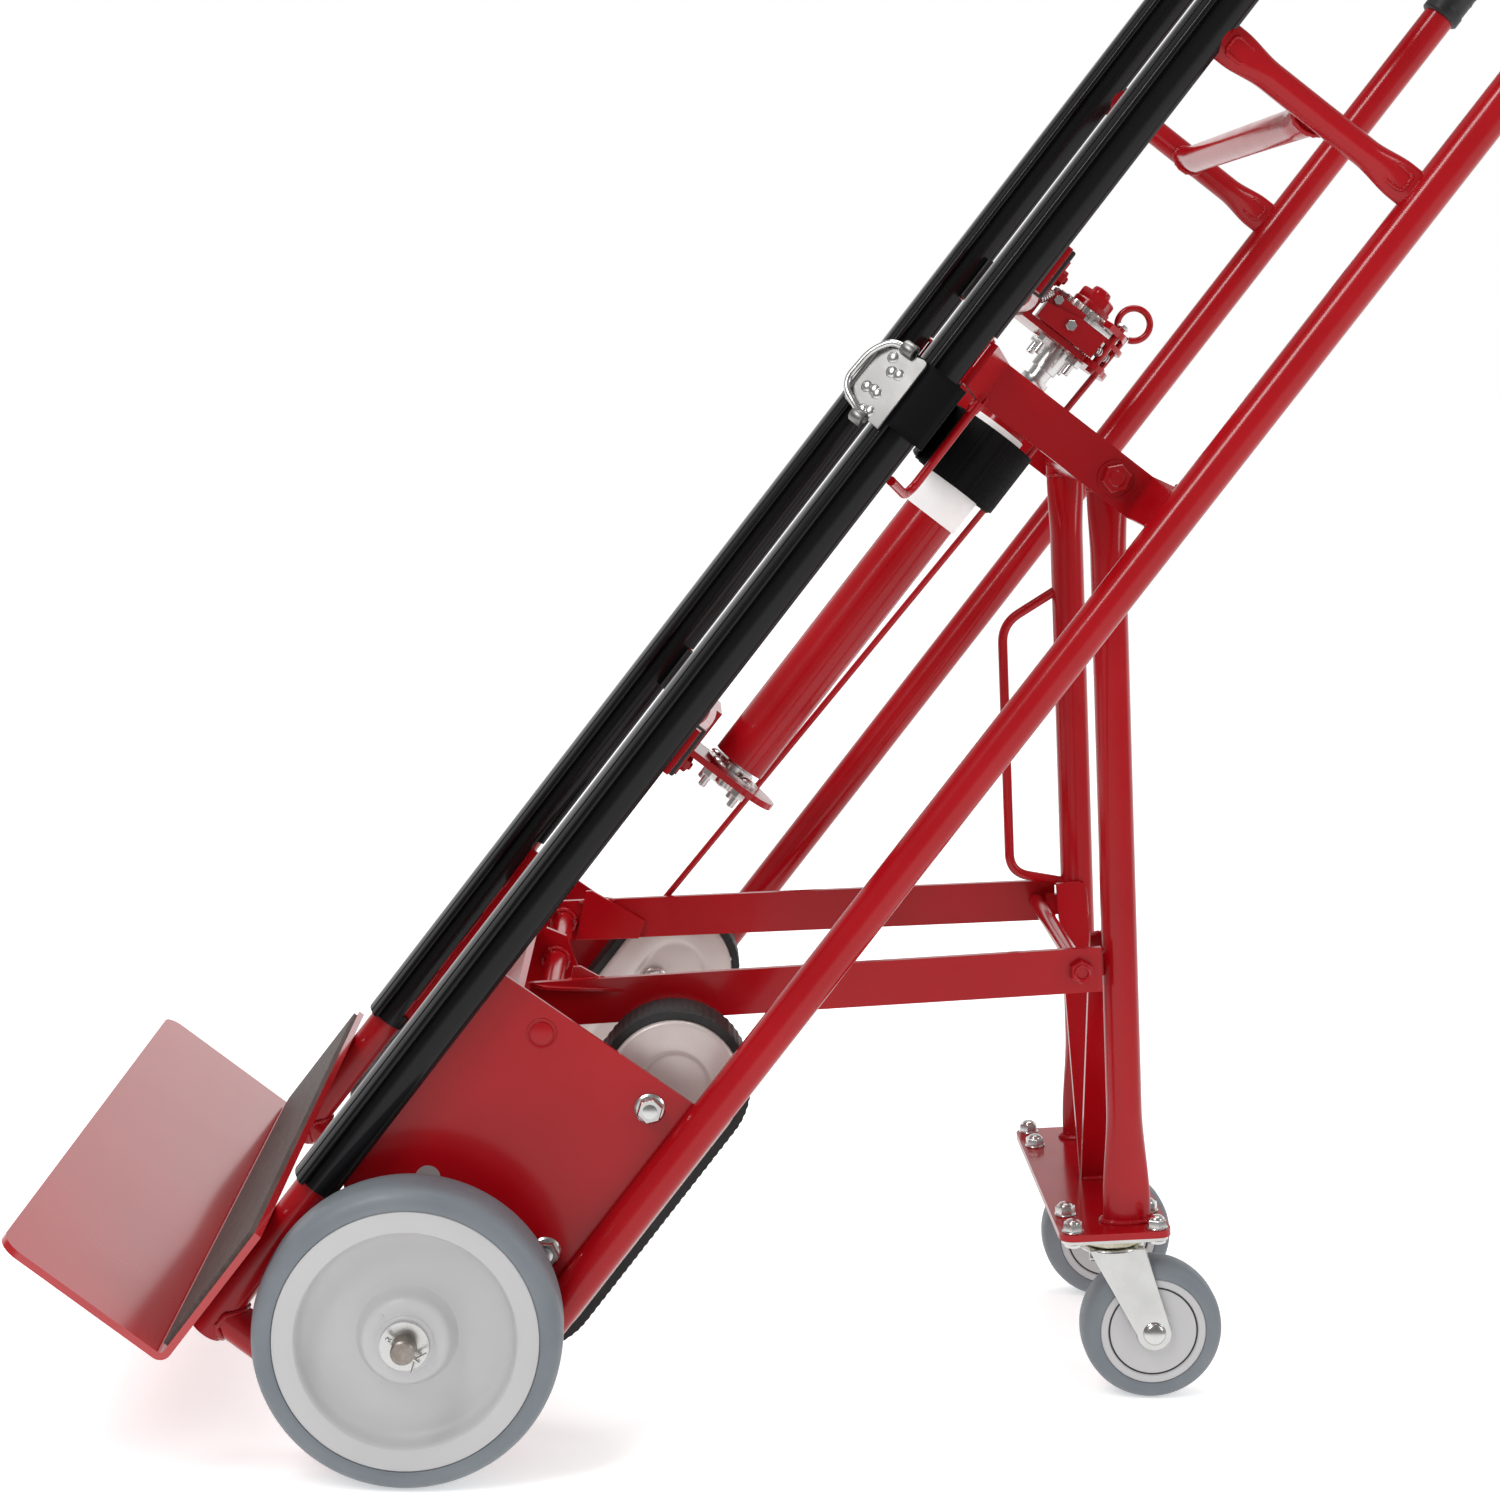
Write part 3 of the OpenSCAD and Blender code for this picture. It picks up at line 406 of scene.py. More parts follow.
PAINTS = {
    "red": paint("red_enamel", (0.36, 0.004, 0.008), 0.2,
        ((9, 4), 0.32, 0.7, (0.285, 0.0018, 0.0045), (0.335, 0.0032, 0.0072)),
        wear=((420, 5, 0.7), 0.62, 0.80, (0.25, 0.0028, 0.005)),
        rough=((40, 5), 0.17, 0.25), relief=((60, 2), 0.02, 0.03),
        Coat_Weight=0.38, Coat_Roughness=0.13, IOR=1.5, Specular_IOR_Level=0.2),
    "satin": paint("red_enamel_worn", (0.36, 0.004, 0.008), 0.24,
        ((7, 3), 0.3, 0.72, (0.345, 0.0035, 0.007), (0.385, 0.006, 0.010)),
        wear=((500, 5, 0.7), 0.62, 0.80, (0.40, 0.015, 0.02)),
        rough=((12, 2), 0.20, 0.26), relief=((300, 2), 0.01, 0.12),
        Coat_Weight=1.0, Coat_Roughness=0.12, IOR=1.6),
    "grip": paint("grip_vinyl", (0.010, 0.010, 0.011), 0.45,
        ((60, 4), 0.3, 0.7, (0.008, 0.008, 0.009), (0.017, 0.017, 0.018)),
        rough=((900, 3), 0.38, 0.55), relief=((1600, 3), 0.08, 0.6)),
    "tread": paint("grey_tread", (0.15, 0.17, 0.19), 0.5,
        ((18, 4), 0.3, 0.7, (0.138, 0.158, 0.177), (0.168, 0.187, 0.205)),
        wear=((260, 6, 0.7), 0.63, 0.78, (0.22, 0.235, 0.25)),
        rough=((120, 4), 0.40, 0.56), relief=((1300, 3), 0.05, 0.5)),
    "hub": paint("grey_hub", (0.45, 0.445, 0.45), 0.42,
        ((10, 4), 0.3, 0.7, (0.43, 0.425, 0.43), (0.465, 0.46, 0.465)),
        wear=((420, 5, 0.7), 0.68, 0.80, (0.37, 0.365, 0.37)),
        rough=((220, 4), 0.36, 0.50), relief=((1100, 3), 0.05, 0.45)),
    "zinc": paint("bright_zinc", (0.74, 0.73, 0.70), 0.26,
        ((45, 3, 0.5), 0.3, 0.75, (0.76, 0.755, 0.735), (0.85, 0.845, 0.835)),
        rough=((90, 3, 0.5), 0.22, 0.32), relief=((500, 3), 0.02, 0.25), metallic=1.0),
    "raceway": paint("raceway_plate", (0.72, 0.67, 0.50), 0.32,
        ((90, 4), 0.3, 0.7, (0.62, 0.58, 0.42), (0.80, 0.76, 0.60)),
        rough=((300, 4), 0.24, 0.42), relief=((500, 3), 0.05, 0.3), metallic=1.0),
    "pressed": paint("stamped_steel", (0.62, 0.55, 0.52), 0.42,
        ((12, 5, 0.6), 0.3, 0.72, (0.58, 0.50, 0.475), (0.66, 0.59, 0.565)),
        wear=((160, 6, 0.7), 0.62, 0.80, (0.52, 0.45, 0.42)),
        rough=((900, 4, 0.6, (0.05, 1, 1)), 0.30, 0.48),
        relief=((900, 3, 0.6, (0.05, 1, 1)), 0.04, 0.4), metallic=0.35),
    "belt": paint("belt_rubber", (0.012, 0.012, 0.012), 0.5,
        ((50, 4), 0.3, 0.7, (0.009, 0.009, 0.009), (0.02, 0.019, 0.019)),
        rough=((500, 4), 0.42, 0.62), relief=((1400, 3), 0.08, 0.5)),
    "pad": paint("toe_pad_rubber", (0.085, 0.062, 0.055), 0.6,
        ((300, 5, 0.6, (1, 0.08, 1)), 0.3, 0.7, (0.060, 0.043, 0.038), (0.105, 0.078, 0.069)),
        wear=((1500, 4, 0.7), 0.62, 0.74, (0.16, 0.125, 0.115)),
        rough=((600, 4), 0.5, 0.72), relief=((1300, 4, 0.65), 0.22, 0.7)),
    "chrome": paint("hook_chrome", (0.72, 0.72, 0.71), 0.14,
        ((60, 4), 0.3, 0.7, (0.26, 0.255, 0.25), (0.36, 0.355, 0.345)),
        rough=((120, 3), 0.34, 0.44), relief=((600, 3), 0.01, 0.2), metallic=1.0),
    "white": paint("white_sleeve", (0.82, 0.80, 0.79), 0.35,
        ((30, 4), 0.3, 0.7, (0.76, 0.735, 0.725), (0.86, 0.845, 0.835)),
        rough=((200, 3), 0.28, 0.44), relief=((900, 3), 0.03, 0.4)),
    # painted shade: the dark ring that fills the caster hubs' groove
    "dark": paint("painted_groove_shadow", (0.02, 0.02, 0.021), 0.55,
        ((200, 3), 0.3, 0.7, (0.013, 0.013, 0.014), (0.032, 0.032, 0.033)),
        rough=((400, 3), 0.45, 0.65), relief=((900, 3), 0.04, 0.4)),
    "steel": paint("axle_steel", (0.42, 0.37, 0.33), 0.4,
        ((120, 5, 0.65), 0.3, 0.7, (0.30, 0.255, 0.22), (0.50, 0.45, 0.41)),
        rough=((400, 4), 0.32, 0.5), relief=((800, 3), 0.08, 0.4), metallic=0.9),
    "vinyl": extruded_vinyl(), "web": woven_webbing(),
}

# ---------------------------------------------------------------- CAD nodes that stay
# how far the edges of the flat pieces are rounded, in millimetres; a left and a right one are alike
PLATES = {
    "toe_plate": 1.6, "crossbars": 1.2, "latch_bar": 1.0, "side_plate": 0.9, "leg_bracket": 1.0,
    "lower_bracket": 1.1, "head_bracket": 0.9, "pawl": 0.6, "leg_v_brace": 0.9, "caster_plate": 1.4,
    "brace_bar": 1.0, "latch_hook": 0.8,
}
ROUNDS = {"front_rail", "rear_rail", "handle_bend", "foot_bends", "strap_tube", "leg_pivot_tube", "brace_rod"}
for node in frame["nodes"].values():
    kind = node.name.removesuffix("_left").removesuffix("_right")
    if kind in PLATES:
        dress(node, "satin" if kind == "toe_plate" else "red", 35, PLATES[kind])
    elif kind in ROUNDS:
        dress(node, "red", 35)
dress(frame["nodes"]["toe_pad"], "pad", 35, 0.7)
dress(frame["nodes"]["ratchet_gear"], "zinc", 30, 0.35)
for name in ("axle_washers", "roller_bearings"):
    dress(frame["nodes"][name], "zinc", 30, 0.5)


# ---------------------------------------------------------------- side frames
def guard_section():
    """Outline of the rail guard in y and z about the rail: a C round the rail with a crowned front."""
    outer, inner = 16.3, RAIL_R + 0.15
    half = []
    gap = asin(8.6 / outer)
    lip = acos(-8.2 / outer)
    for i in range(15):
        a = gap + (lip - gap) * i / 14
        half.append((outer * sin(a), -outer * cos(a)))
    half += [(14.6, 8.9), (18.8, 8.6), (19.6, 8.9), (20.0, 9.7), (20.0, 11.2), (19.7, 12.0)]
    for y in (19.0, 17.5, 15.5, 14.3):
        half.append((y, 18 - 6 * (y / 20) ** 2))
    half += [(13.9, 13.7), (13.3, 13.5), (12.8, 14.0)]
    for y in (12.5, 11, 8.5, 6, 3, 0):
        half.append((y, 18 - 6 * (y / 20) ** 2))
    bore = [(inner * sin(a), -inner * cos(a)) for a in
            [gap * 1.2 + (pi - gap * 1.2) * i / 14 for i in range(15)]]
    outside = half + [(-y, z) for y, z in half[-2::-1]]
    return outside + [(-y, z) for y, z in bore] + [(y, z) for y, z in bore[-2::-1]]


def rail_guards():
    section = guard_section()
    for label, side in SIDES:
        y = side * SIDE_Y
        rings = [[(x, y + a, FRONT_Z + b) for a, b in section] for x in (2, 400, 800, 1230)]
        guard = Shape().skin(rings).build(f"guard_{label}", "vinyl", [f"rail_guard_{label}"], 32)
        cuts = Shape()
        cuts.prism([(-60, -30), (0, -30), (0, 30), (-60, 30)],
                   moved(2, y, FRONT_Z - 14) @ Matrix.Rotation(radians(-35), 4, "Y")
                   @ moved(0, 0, -20), 80)
        inner = sorted((y - side * 1, y - side * 24))
        for x in CROSSBARS_X:
            cuts.prism(*box(x - 20, x + 20, *inner, FRONT_Z - 20, FRONT_Z - 9.5))
        cuts.prism(*box(PIVOT.x - 19, PIVOT.x + 19, y - 24, y + 24, FRONT_Z - 20, FRONT_Z - 10.5))
        hole = [(LINK_X + p, y + q) for p, q in circle(13, 24)]
        cuts.prism(hole, moved(0, 0, FRONT_Z - 20), 12)
        cuts.prism(*box(14, 198, *inner, FRONT_Z - 20, FRONT_Z - 8))
        carve(guard, cuts, RAIL)
        dress(guard, "vinyl", 32, 0.35)
        tabs = Shape()
        for x in CROSSBARS_X:
            y0, y1 = sorted((side * 193.5, side * 201.5))
            tabs.prism(*box(x - 19, x + 19, y0, y1, FRONT_Z - 23, FRONT_Z - 9))
        tabs.build(f"guard_tabs_{label}", "grip", smooth=30, bevel=1.5)


def grips():
    """Ribbed grip over the rear half of the handle bend and the top of the rear rail."""
    middle_z = REAR_Z + BEND_R
    for label, side in SIDES:
        start = Vector((TOP_X - 110, side * SIDE_Y, REAR_Z))
        path = resample([start, start + Vector((110, 0, 0))], 1.25)
        for i in range(1, 101):
            a = radians(80 * i / 100)
            path.append(Vector((TOP_X + BEND_R * sin(a), side * SIDE_Y, middle_z - BEND_R * cos(a))))
        radius, travel = [], 0.0
        length = sum((b - a).length for a, b in zip(path, path[1:]))
        for i, p in enumerate(path):
            travel += (p - path[i - 1]).length if i else 0
            ends = min(travel, length - travel)
            rib = 0.55 * max(0.0, cos(travel / 7.5 * tau)) ** 2 if ends > 16 else 0.0
            r = 15.3 + rib + (0.85 if ends < 9 else 0)
            radius.append(r - 1.6 * max(0.0, 1 - ends / 1.6) ** 2)
        Shape().sweep(path, radius, 32).build(f"grip_{label}_ribbed", "grip", [f"grip_{label}"], 50)


def upper_links():
    """Links whose ends are pressed flat where they meet the rails, and the cross tube between them."""
    shape, welds = Shape(), Shape()
    for side in (-1, 1):
        y = side * SIDE_Y
        z0, z1 = REAR_Z + RAIL_R - 1.5, FRONT_Z - RAIL_R + 1.5
        path, radius = [], []
        for i in range(49):
            z = z0 + (z1 - z0) * i / 48
            end = min(z - z0, z1 - z)
            t = ease(1 - (end - 9) / 30)
            path.append((LINK_X, y, z))
            radius.append((10 - 4.2 * t, 10 + 3.6 * t))
        shape.sweep(path, radius, 28)
        for z, up in ((REAR_Z, 1), (FRONT_Z, -1)):
            ring = []
            for px, py in circle(1, 36):
                dx, dy = 13.9 * px, 6.2 * py
                ring.append((LINK_X + dx, y + dy, z + up * (sqrt(RAIL_R**2 - dy * dy) + 0.3)))
            welds.bead(ring, 2.9, True)
        # boxy indentation pressed into each flat end
        for z in (REAR_Z + 24, FRONT_Z - 24):
            for face in (-1, 1):
                place = side_plane(0) @ moved(LINK_X, z, y + face * 5.2)
                ring = [(a, b, 0) for a, b in rounded_box(13, 15, 3.5)]
                shape.bead(ring, 1.5, True, place)
    half = SIDE_Y - 9
    path, radius = [], []
    for i in range(61):
        y = -half + 2 * half * i / 60
        t = ease(1 - (half - abs(y) - 4) / 32)
        path.append((LINK_TUBE_X, y, LINK_TUBE_Z))
        radius.append((11 - 3.0 * t, 11 + 2.0 * t))
    shape.sweep(path, radius, 28, side=(1, 0, 0))
    for side in (-1, 1):
        ring = [(LINK_TUBE_X + 8.6 * a, side * (SIDE_Y - 10.2), LINK_TUBE_Z + 12.6 * b)
                for a, b in circle(1, 36)]
        welds.bead(ring, 2.3, True)
    shape.build("upper_links_pressed", "red", ["upper_links"], 50)
    welds.build("upper_link_welds", "red", smooth=80)


def frame_welds():
    """Beads where brackets, crossbars, side plates and rail feet meet the rails."""
    welds = Shape()
    for side in (-1, 1):
        y = side * SIDE_Y
        inner = y - side * 9.5
        for x in CROSSBARS_X:
            for at in (x - 18, x + 18):
                welds.bead([(at, y - side * 2, FRONT_Z - 13.6), (at, y - side * 11, FRONT_Z - 13.2)], 1.6)
        for edge in (-16.5, 16.5):
            x = PIVOT.x + edge
            welds.bead([(x, y - side * 1, FRONT_Z - 13.8), (x, y - side * 12, FRONT_Z - 13.6)], 1.8)
            welds.bead([(x, y - side * 6, REAR_Z + 12.2), (x, y - side * 14, REAR_Z + 8)], 1.9)
        # side plate along both rails, in short runs
        for a, b in ((30, 62), (92, 122), (150, 182)):
            welds.bead([(a, inner, FRONT_Z - 9.2), (b, inner, FRONT_Z - 9.2)], 1.5)
        for a, b in ((-44, -20), (12, 40), (74, 100), (130, 156), (176, 192)):
            welds.bead([(a, inner, REAR_Z + 9.2), (b, inner, REAR_Z + 9.2)], 1.5)
        # rail foot against the front rail
        foot_x = -107
        ring = []
        for px, py in circle(RAIL_R + 0.6, 44):
            drop = sqrt(max(1.0, (RAIL_R + 0.2) ** 2 - min(py * py, 160)))
            ring.append((foot_x + px, y + py, FRONT_Z - drop))
        welds.bead(ring, 2.0, True)
        # rails against the toe plate's back leaf
        for edge in (-5, 5):
            welds.bead([(-124, y + edge, FRONT_Z + 13.2), (-60, y + edge, FRONT_Z + 13.2)], 1.6)
    welds.build("frame_welds", "red", smooth=80)


def side_plate_details():
    """Plug welds that fill the plates' round holes, and axle spacer collars."""
    plugs, collars = Shape(), Shape()
    for side in (-1, 1):
        plug = [(0, 0.9), (6.4, 0.9), (7.4, 0.7), (7.9, -0.6), (8.5, -0.6), (9.0, 0.5), (9.9, 0.6),
                (10.4, -0.5), (0, -0.5)]
        plugs.lathe(plug, along_y(PLUG_X, side * 210.1, PLUG_Z, side), 48)
        collars.lathe([(8.3, 0), (14, 0), (14.6, 0.6), (14.6, 17.6), (14, 18.2), (8.3, 18.2)],
                      along_y(AXLE_X, side * 210.6, AXLE_Z, side), 40)
    plugs.build("side_plate_plugs", "red", smooth=35)
    collars.build("axle_collars", "zinc", smooth=35)


def axle_ends():
    """Axle with chamfered ends and a cotter pin outside each wheel."""
    axle, pins = Shape(), Shape()
    axle.lathe([(0, -300), (6.9, -300), (7.95, -299), (7.95, 299), (6.9, 300), (0, 300)],
               along_y(AXLE_X, 0, AXLE_Z), 40)
    axle.build("axle_rod", "steel", ["axle"], 30)
    for side in (-1, 1):
        y = side * 294
        pins.sweep([(AXLE_X, y, AXLE_Z - 13), (AXLE_X, y, AXLE_Z + 9)], 1.5, 10)
        loop = [(AXLE_X, y + side * 2.2 * sin(a), AXLE_Z + 10.6 - 2.6 * cos(a)) for a in
                [radians(20 + 320 * i / 20) for i in range(21)]]
        pins.sweep(loop, 0.9, 8, side=(1, 0, 0))
        for spread in (-1, 1):
            pins.sweep(fillet([(AXLE_X, y, AXLE_Z - 8), (AXLE_X + spread * 0.6, y, AXLE_Z - 10),
                               (AXLE_X + spread * 8, y + side, AXLE_Z - 13)], 2), 0.85, 8)
    pins.build("cotter_pins", "zinc", smooth=50)


# ---------------------------------------------------------------- wheels
def mirrored(half):
    """A closed profile from its half at positive heights, listed from the bore outwards."""
    return half + [(r, -h) for r, h in half[::-1]]


def main_wheels():
    hub = mirrored([
        # bore and boss
        (8.1, 24.9), (16.4, 25.0), (17.6, 24.6), (18.5, 23.6), (18.9, 22.2), (19.6, 21.7), (24.6, 21.3),
        (27.2, 20.3), (28.9, 18.2), (30.0, 15), (31.3, 11), (33.4, 8.2), (37, 6.7),
        # web and rim
        (44, 5.9), (54, 5.5), (61, 5.8), (65.4, 7.0), (68.4, 9.4), (70.1, 12.8), (71.0, 17.0), (71.7, 19.6),
        (72.8, 20.9), (74.6, 21.4), (80, 21.5), (85.4, 21.5), (86.4, 21.3), (86.9, 20.6)])
    tyre = mirrored([
        (87.0, 20.4), (87.3, 21.6), (88.4, 22.3), (90.6, 22.45), (93.2, 22.2), (95.6, 21.3), (97.9, 19.5),
        (99.6, 17.0), (100.7, 13.9), (101.3, 10), (101.5, 5)])
    for label, side in SIDES:
        place = along_y(AXLE_X, side * WHEEL_Y, AXLE_Z, side)
        Shape().lathe(hub, place, 128).lathe(
            [(0, 21.9), (1.1, 21.8), (1.5, 21.2), (1.6, 20.4), (0, 20.4)],
            place @ moved(5, 22.6, 0), 16,
        ).build(f"hub_{label}", "hub", [f"wheel_hub_{label}"], 30, body=f"wheel_{label}")
        Shape().lathe(tyre, place, 144).build(
            f"tyre_{label}", "tread", [f"wheel_tyre_{label}"], 40, body=f"wheel_{label}")


def caster_wheels():
    tread = mirrored([
        (38.0, 13.9), (38.4, 14.7), (39.6, 15.0), (43.2, 14.8), (46.4, 13.7), (48.7, 11.7), (50.1, 8.7),
        (50.7, 4.5)])
    hub = mirrored([
        (5.1, 15.7), (13.6, 15.7), (14.2, 15.2), (14.4, 14.2), (15.2, 13.7), (30.9, 13.7), (31.2, 12.9),
        (32.2, 12.9), (32.5, 14.0), (33, 14.6), (37.2, 14.6), (37.9, 14.0)])
    # a dark ring laid in the hub's groove: painted shade standing in for the groove's shadow
    groove = mirrored([(31.15, 13.25), (32.25, 13.25)])
    for label, side in SIDES:
        place = along_y(CASTER_S, side * LEG_Y, TRAIL - CASTER_N)
        body = f"caster_wheel_{label}"
        Shape().lathe(tread, place, 112).build(
            f"caster_tread_{label}", "tread", [f"caster_wheel_{label}"], 40, space=LEG, body=body)
        Shape().lathe(hub, place, 96).build(f"caster_hub_{label}", "hub", smooth=30, space=LEG, body=body)
        Shape().lathe(groove, place, 96).build(
            f"caster_groove_shade_{label}", "dark", smooth=30, space=LEG, body=body)


# ---------------------------------------------------------------- casters
def rounded_box(x, y, r, n=6):
    out = []
    for i, (sx, sy) in enumerate(((1, 1), (-1, 1), (-1, -1), (1, -1))):
        for k in range(n):
            a = pi / 2 * (i + k / (n - 1))
            out.append((sx * (x / 2 - r) + r * cos(a), sy * (y / 2 - r) + r * sin(a)))
    return out


def casters():
    for label, side in SIDES:
        y = side * LEG_Y
        axle = (CASTER_S, TRAIL - CASTER_N)
        head = LEG_LENGTH + 5 + 9
        # a side plate that tapers to the round end about the axle
        outline = [(head + 0.6, -CASTER_N - 18.5), (head + 0.6, -CASTER_N + 21.5)]
        end_r = 12.4
        for i in range(15):
            a = radians(100 - 186 * i / 14)
            outline.append((axle[0] + end_r * cos(a), axle[1] + end_r * sin(a)))
        fork = Shape()
        for s in (-1, 1):
            y0 = y + (16.6 if s > 0 else -19.1)
            fork.prism(outline, side_plane(y0), 2.5)
        crown = [(5.2, 0), (21, 0), (22.6, 0.7), (23.2, 2.0), (23.0, 3.2), (22, 3.6), (5.2, 3.6)]
        fork.lathe(crown, along_x(head, y, -CASTER_N), 48)
        # shoulders that fold the crown into the two plates
        for s in (-1, 1):
            bend = [(head + 0.2, y + s * 13, 0), (head + 1.4, y + s * 17.2, 0), (head + 7, y + s * 18.2, 0)]
            rings = []
            for z in (-CASTER_N - 18.3, -CASTER_N + 21.3):
                path = fillet(bend, 4)
                under = [(p.x + 2.2, p.y - s * 2.2, z) for p in path[::-1]]
                rings.append([(p.x, p.y, z) for p in path] + under)
            fork.skin(rings)
        fork.build(
            f"fork_{label}", "zinc", [f"caster_fork_{label}"], 35, 0.7, space=LEG, body=f"caster_{label}")
        bolt = Shape()
        bolt.lathe([(0, -19), (5, -19), (5, 19), (0, 19)], along_y(axle[0], y, axle[1]), 24)
        for s in (-1, 1):
            bolt.lathe([(0, 23.4), (3.4, 23.1), (6.2, 22.2), (7.9, 20.7), (8.3, 19.4), (0, 19.2)],
                       along_y(axle[0], y, axle[1], s), 32)
        bolt.build(f"caster_axle_{label}", "zinc", smooth=40, space=LEG, body=f"caster_{label}")
    base, race, nuts = Shape(), Shape(), Shape()
    for side in (-1, 1):
        y = side * LEG_Y
        place = along_x(LEG_LENGTH + 5.1, y, -CASTER_N)
        base.prism(rounded_box(76, 50, 7), place, 3)
        race.lathe([(5, 3.1), (22.4, 3.1), (23, 3.8), (23, 6.4), (22.2, 7.4), (19, 8.2), (5, 8.2)], place, 48)
        base.lathe([(0, 8.2), (10, 8.2), (10, 9), (0, 9)], place, 24)
        for i in (-1, 1):
            for j in (-1, 1):
                at = moved(LEG_LENGTH, y + j * 18.5, -CASTER_N + i * 30)
                up = loosely_turned(at @ Matrix.Rotation(-pi / 2, 4, "Y"))
                nuts.lathe([(0, 0.1), (7.6, 0.1), (7.8, 0.9), (7.4, 1.4), (0, 1.4)], up, 28)
                nuts.hexagon(raised(up, 1.4), 12.6, 5.4, 0.9)
                nuts.lathe([(0, 9.5), (2.4, 9.3), (4.1, 8.6), (5.2, 7.4), (5.5, 6.2), (0, 6.2)], up, 24)
                down = at @ Matrix.Rotation(pi / 2, 4, "Y")
                nuts.lathe([(0, 11.6), (3.8, 11.3), (6.2, 10.2), (6.7, 8.2), (0, 8.2)], down, 24)
    base.build("caster_tops", "zinc", ["caster_bases"], 35, 0.6, space=LEG, body="legs")
    race.build("caster_races", "raceway", smooth=35, space=LEG, body="legs")
    nuts.build("caster_lock_nuts", "zinc", ["caster_nuts"], 35, space=LEG, body="legs")


# ---------------------------------------------------------------- stair climbers
CLIMB_TOP, CLIMB_LOW, CLIMB_Y, CLIMB_R = (191.6, 145), (25, 145), 166.5, 46


def obround(r, n, inset=0.0):
    """Outline in x and z round both ends of a climber, with n points an end."""
    return [(end[0] + (r - inset) * cos(a), end[1] + (r - inset) * sin(a))
            for end, start in ((CLIMB_TOP, -90), (CLIMB_LOW, 90))
            for a in [radians(start + 180 * i / (n - 1)) for i in range(n)]]


def stair_climbers():
    """Pressed dishes with a raised rim and an obround emboss, and the ribbed belts round them."""
    shells, belts = Shape(), Shape()
    for side in (-1, 1):
        for sign in (-1, 1):
            y0 = side * CLIMB_Y + sign * 21.4
            # inset and depth of rings over the rim and the face to the middle, and back inside
            face = [(0.2, -14.5), (0.0, -3.2), (0.5, -1.2), (1.9, -0.1), (3.6, 0.0), (12.0, 0.0),
                    (19.8, -0.1), (21.4, -0.7), (22.6, -1.9), (24.0, -2.5), (26.0, -2.6), (44.0, -2.6)]
            inside = [(44.0, -4.2), (25.4, -4.2), (21.2, -3.4), (18.6, -1.7), (4.2, -1.7), (2.0, -3.4),
                      (1.8, -14.5)]
            rings = [[(x, y0 + sign * depth, z) for x, z in obround(CLIMB_R, 28, inset)]
                     for inset, depth in face + inside]
            shells.skin(rings, caps=False, closed=True)
            # close the flat middle
            n, last = len(rings[0]), len(face) - 1
            shells.add(rings[last] + rings[last + 1], [list(range(n)), list(range(n, 2 * n))])
        # belt: a band with fine cross ribs outside
        y = side * CLIMB_Y
        path = obround(CLIMB_R, 120)
        dense = []
        for a, b in zip(path, path[1:] + path[:1]):
            m = max(1, int(hypot(b[0] - a[0], b[1] - a[1]) / 1.5))
            dense += [(a[0] + (b[0] - a[0]) * k / m, a[1] + (b[1] - a[1]) * k / m) for k in range(m)]
        rings = []
        for i, (x, z) in enumerate(dense):
            out_x, out_z = x - min(max(x, CLIMB_LOW[0]), CLIMB_TOP[0]), z - CLIMB_LOW[1]
            away = hypot(out_x, out_z)
            rib = 0.45 if i % 4 < 2 else 0.0
            section = ((0.3, -18.3), (0.3, 18.3), (5.9, 18.4), (6.5 - rib, 17.6), (6.6 - rib, 8),
                       (6.6 - rib, -8), (6.5 - rib, -17.6), (5.9, -18.4))
            rings.append([(x + out_x / away * depth, y + across, z + out_z / away * depth)
                          for depth, across in section])
        belts.skin(rings, closed=True)
    shells.build("climber_dishes", "pressed", ["climber_shells"], 50)
    belts.build("climber_ribbed_belts", "belt", ["climber_belts"], 28)
    bolts = Shape()
    for side in (-1, 1):
        inner, outer = CLIMB_Y - 22.6, 210.1
        for x, z in ((175.5, 153), (55, 149)):
            bolts.lathe([(0, inner - 5), (4.2, inner - 5), (5, inner - 4), (5, outer), (0, outer)],
                        along_y(x, 0, z, side), 24)
            out = loosely_turned(along_y(x, side * outer, z, side))
            bolts.lathe([(0, 0), (10.2, 0), (10.4, 0.6), (9.2, 1.5), (0, 1.6)], out, 36)
            bolts.hexagon(raised(out, 1.4), 15.5, 6.2, 1.3)
            bolts.lathe([(0, 7.9), (4.4, 7.9), (5.2, 7.5), (5.4, 7.0), (0, 7.0)], out, 28)
            within = loosely_turned(along_y(x, side * inner, z, -side))
            bolts.lathe([(0, -1), (10.4, -1), (10.6, 0), (9.4, 1.0), (0, 1.1)], within, 36)
            bolts.hexagon(raised(within, 0.9), 15.5, 4.4, 1.0)
            bolts.lathe([(5.1, 0), (9, 0), (9, 18.4), (5.1, 18.4)], along_y(x, side * 188.3, z, side), 32)
    bolts.build("climber_flange_bolts", "zinc", ["climber_bolts"], 35)


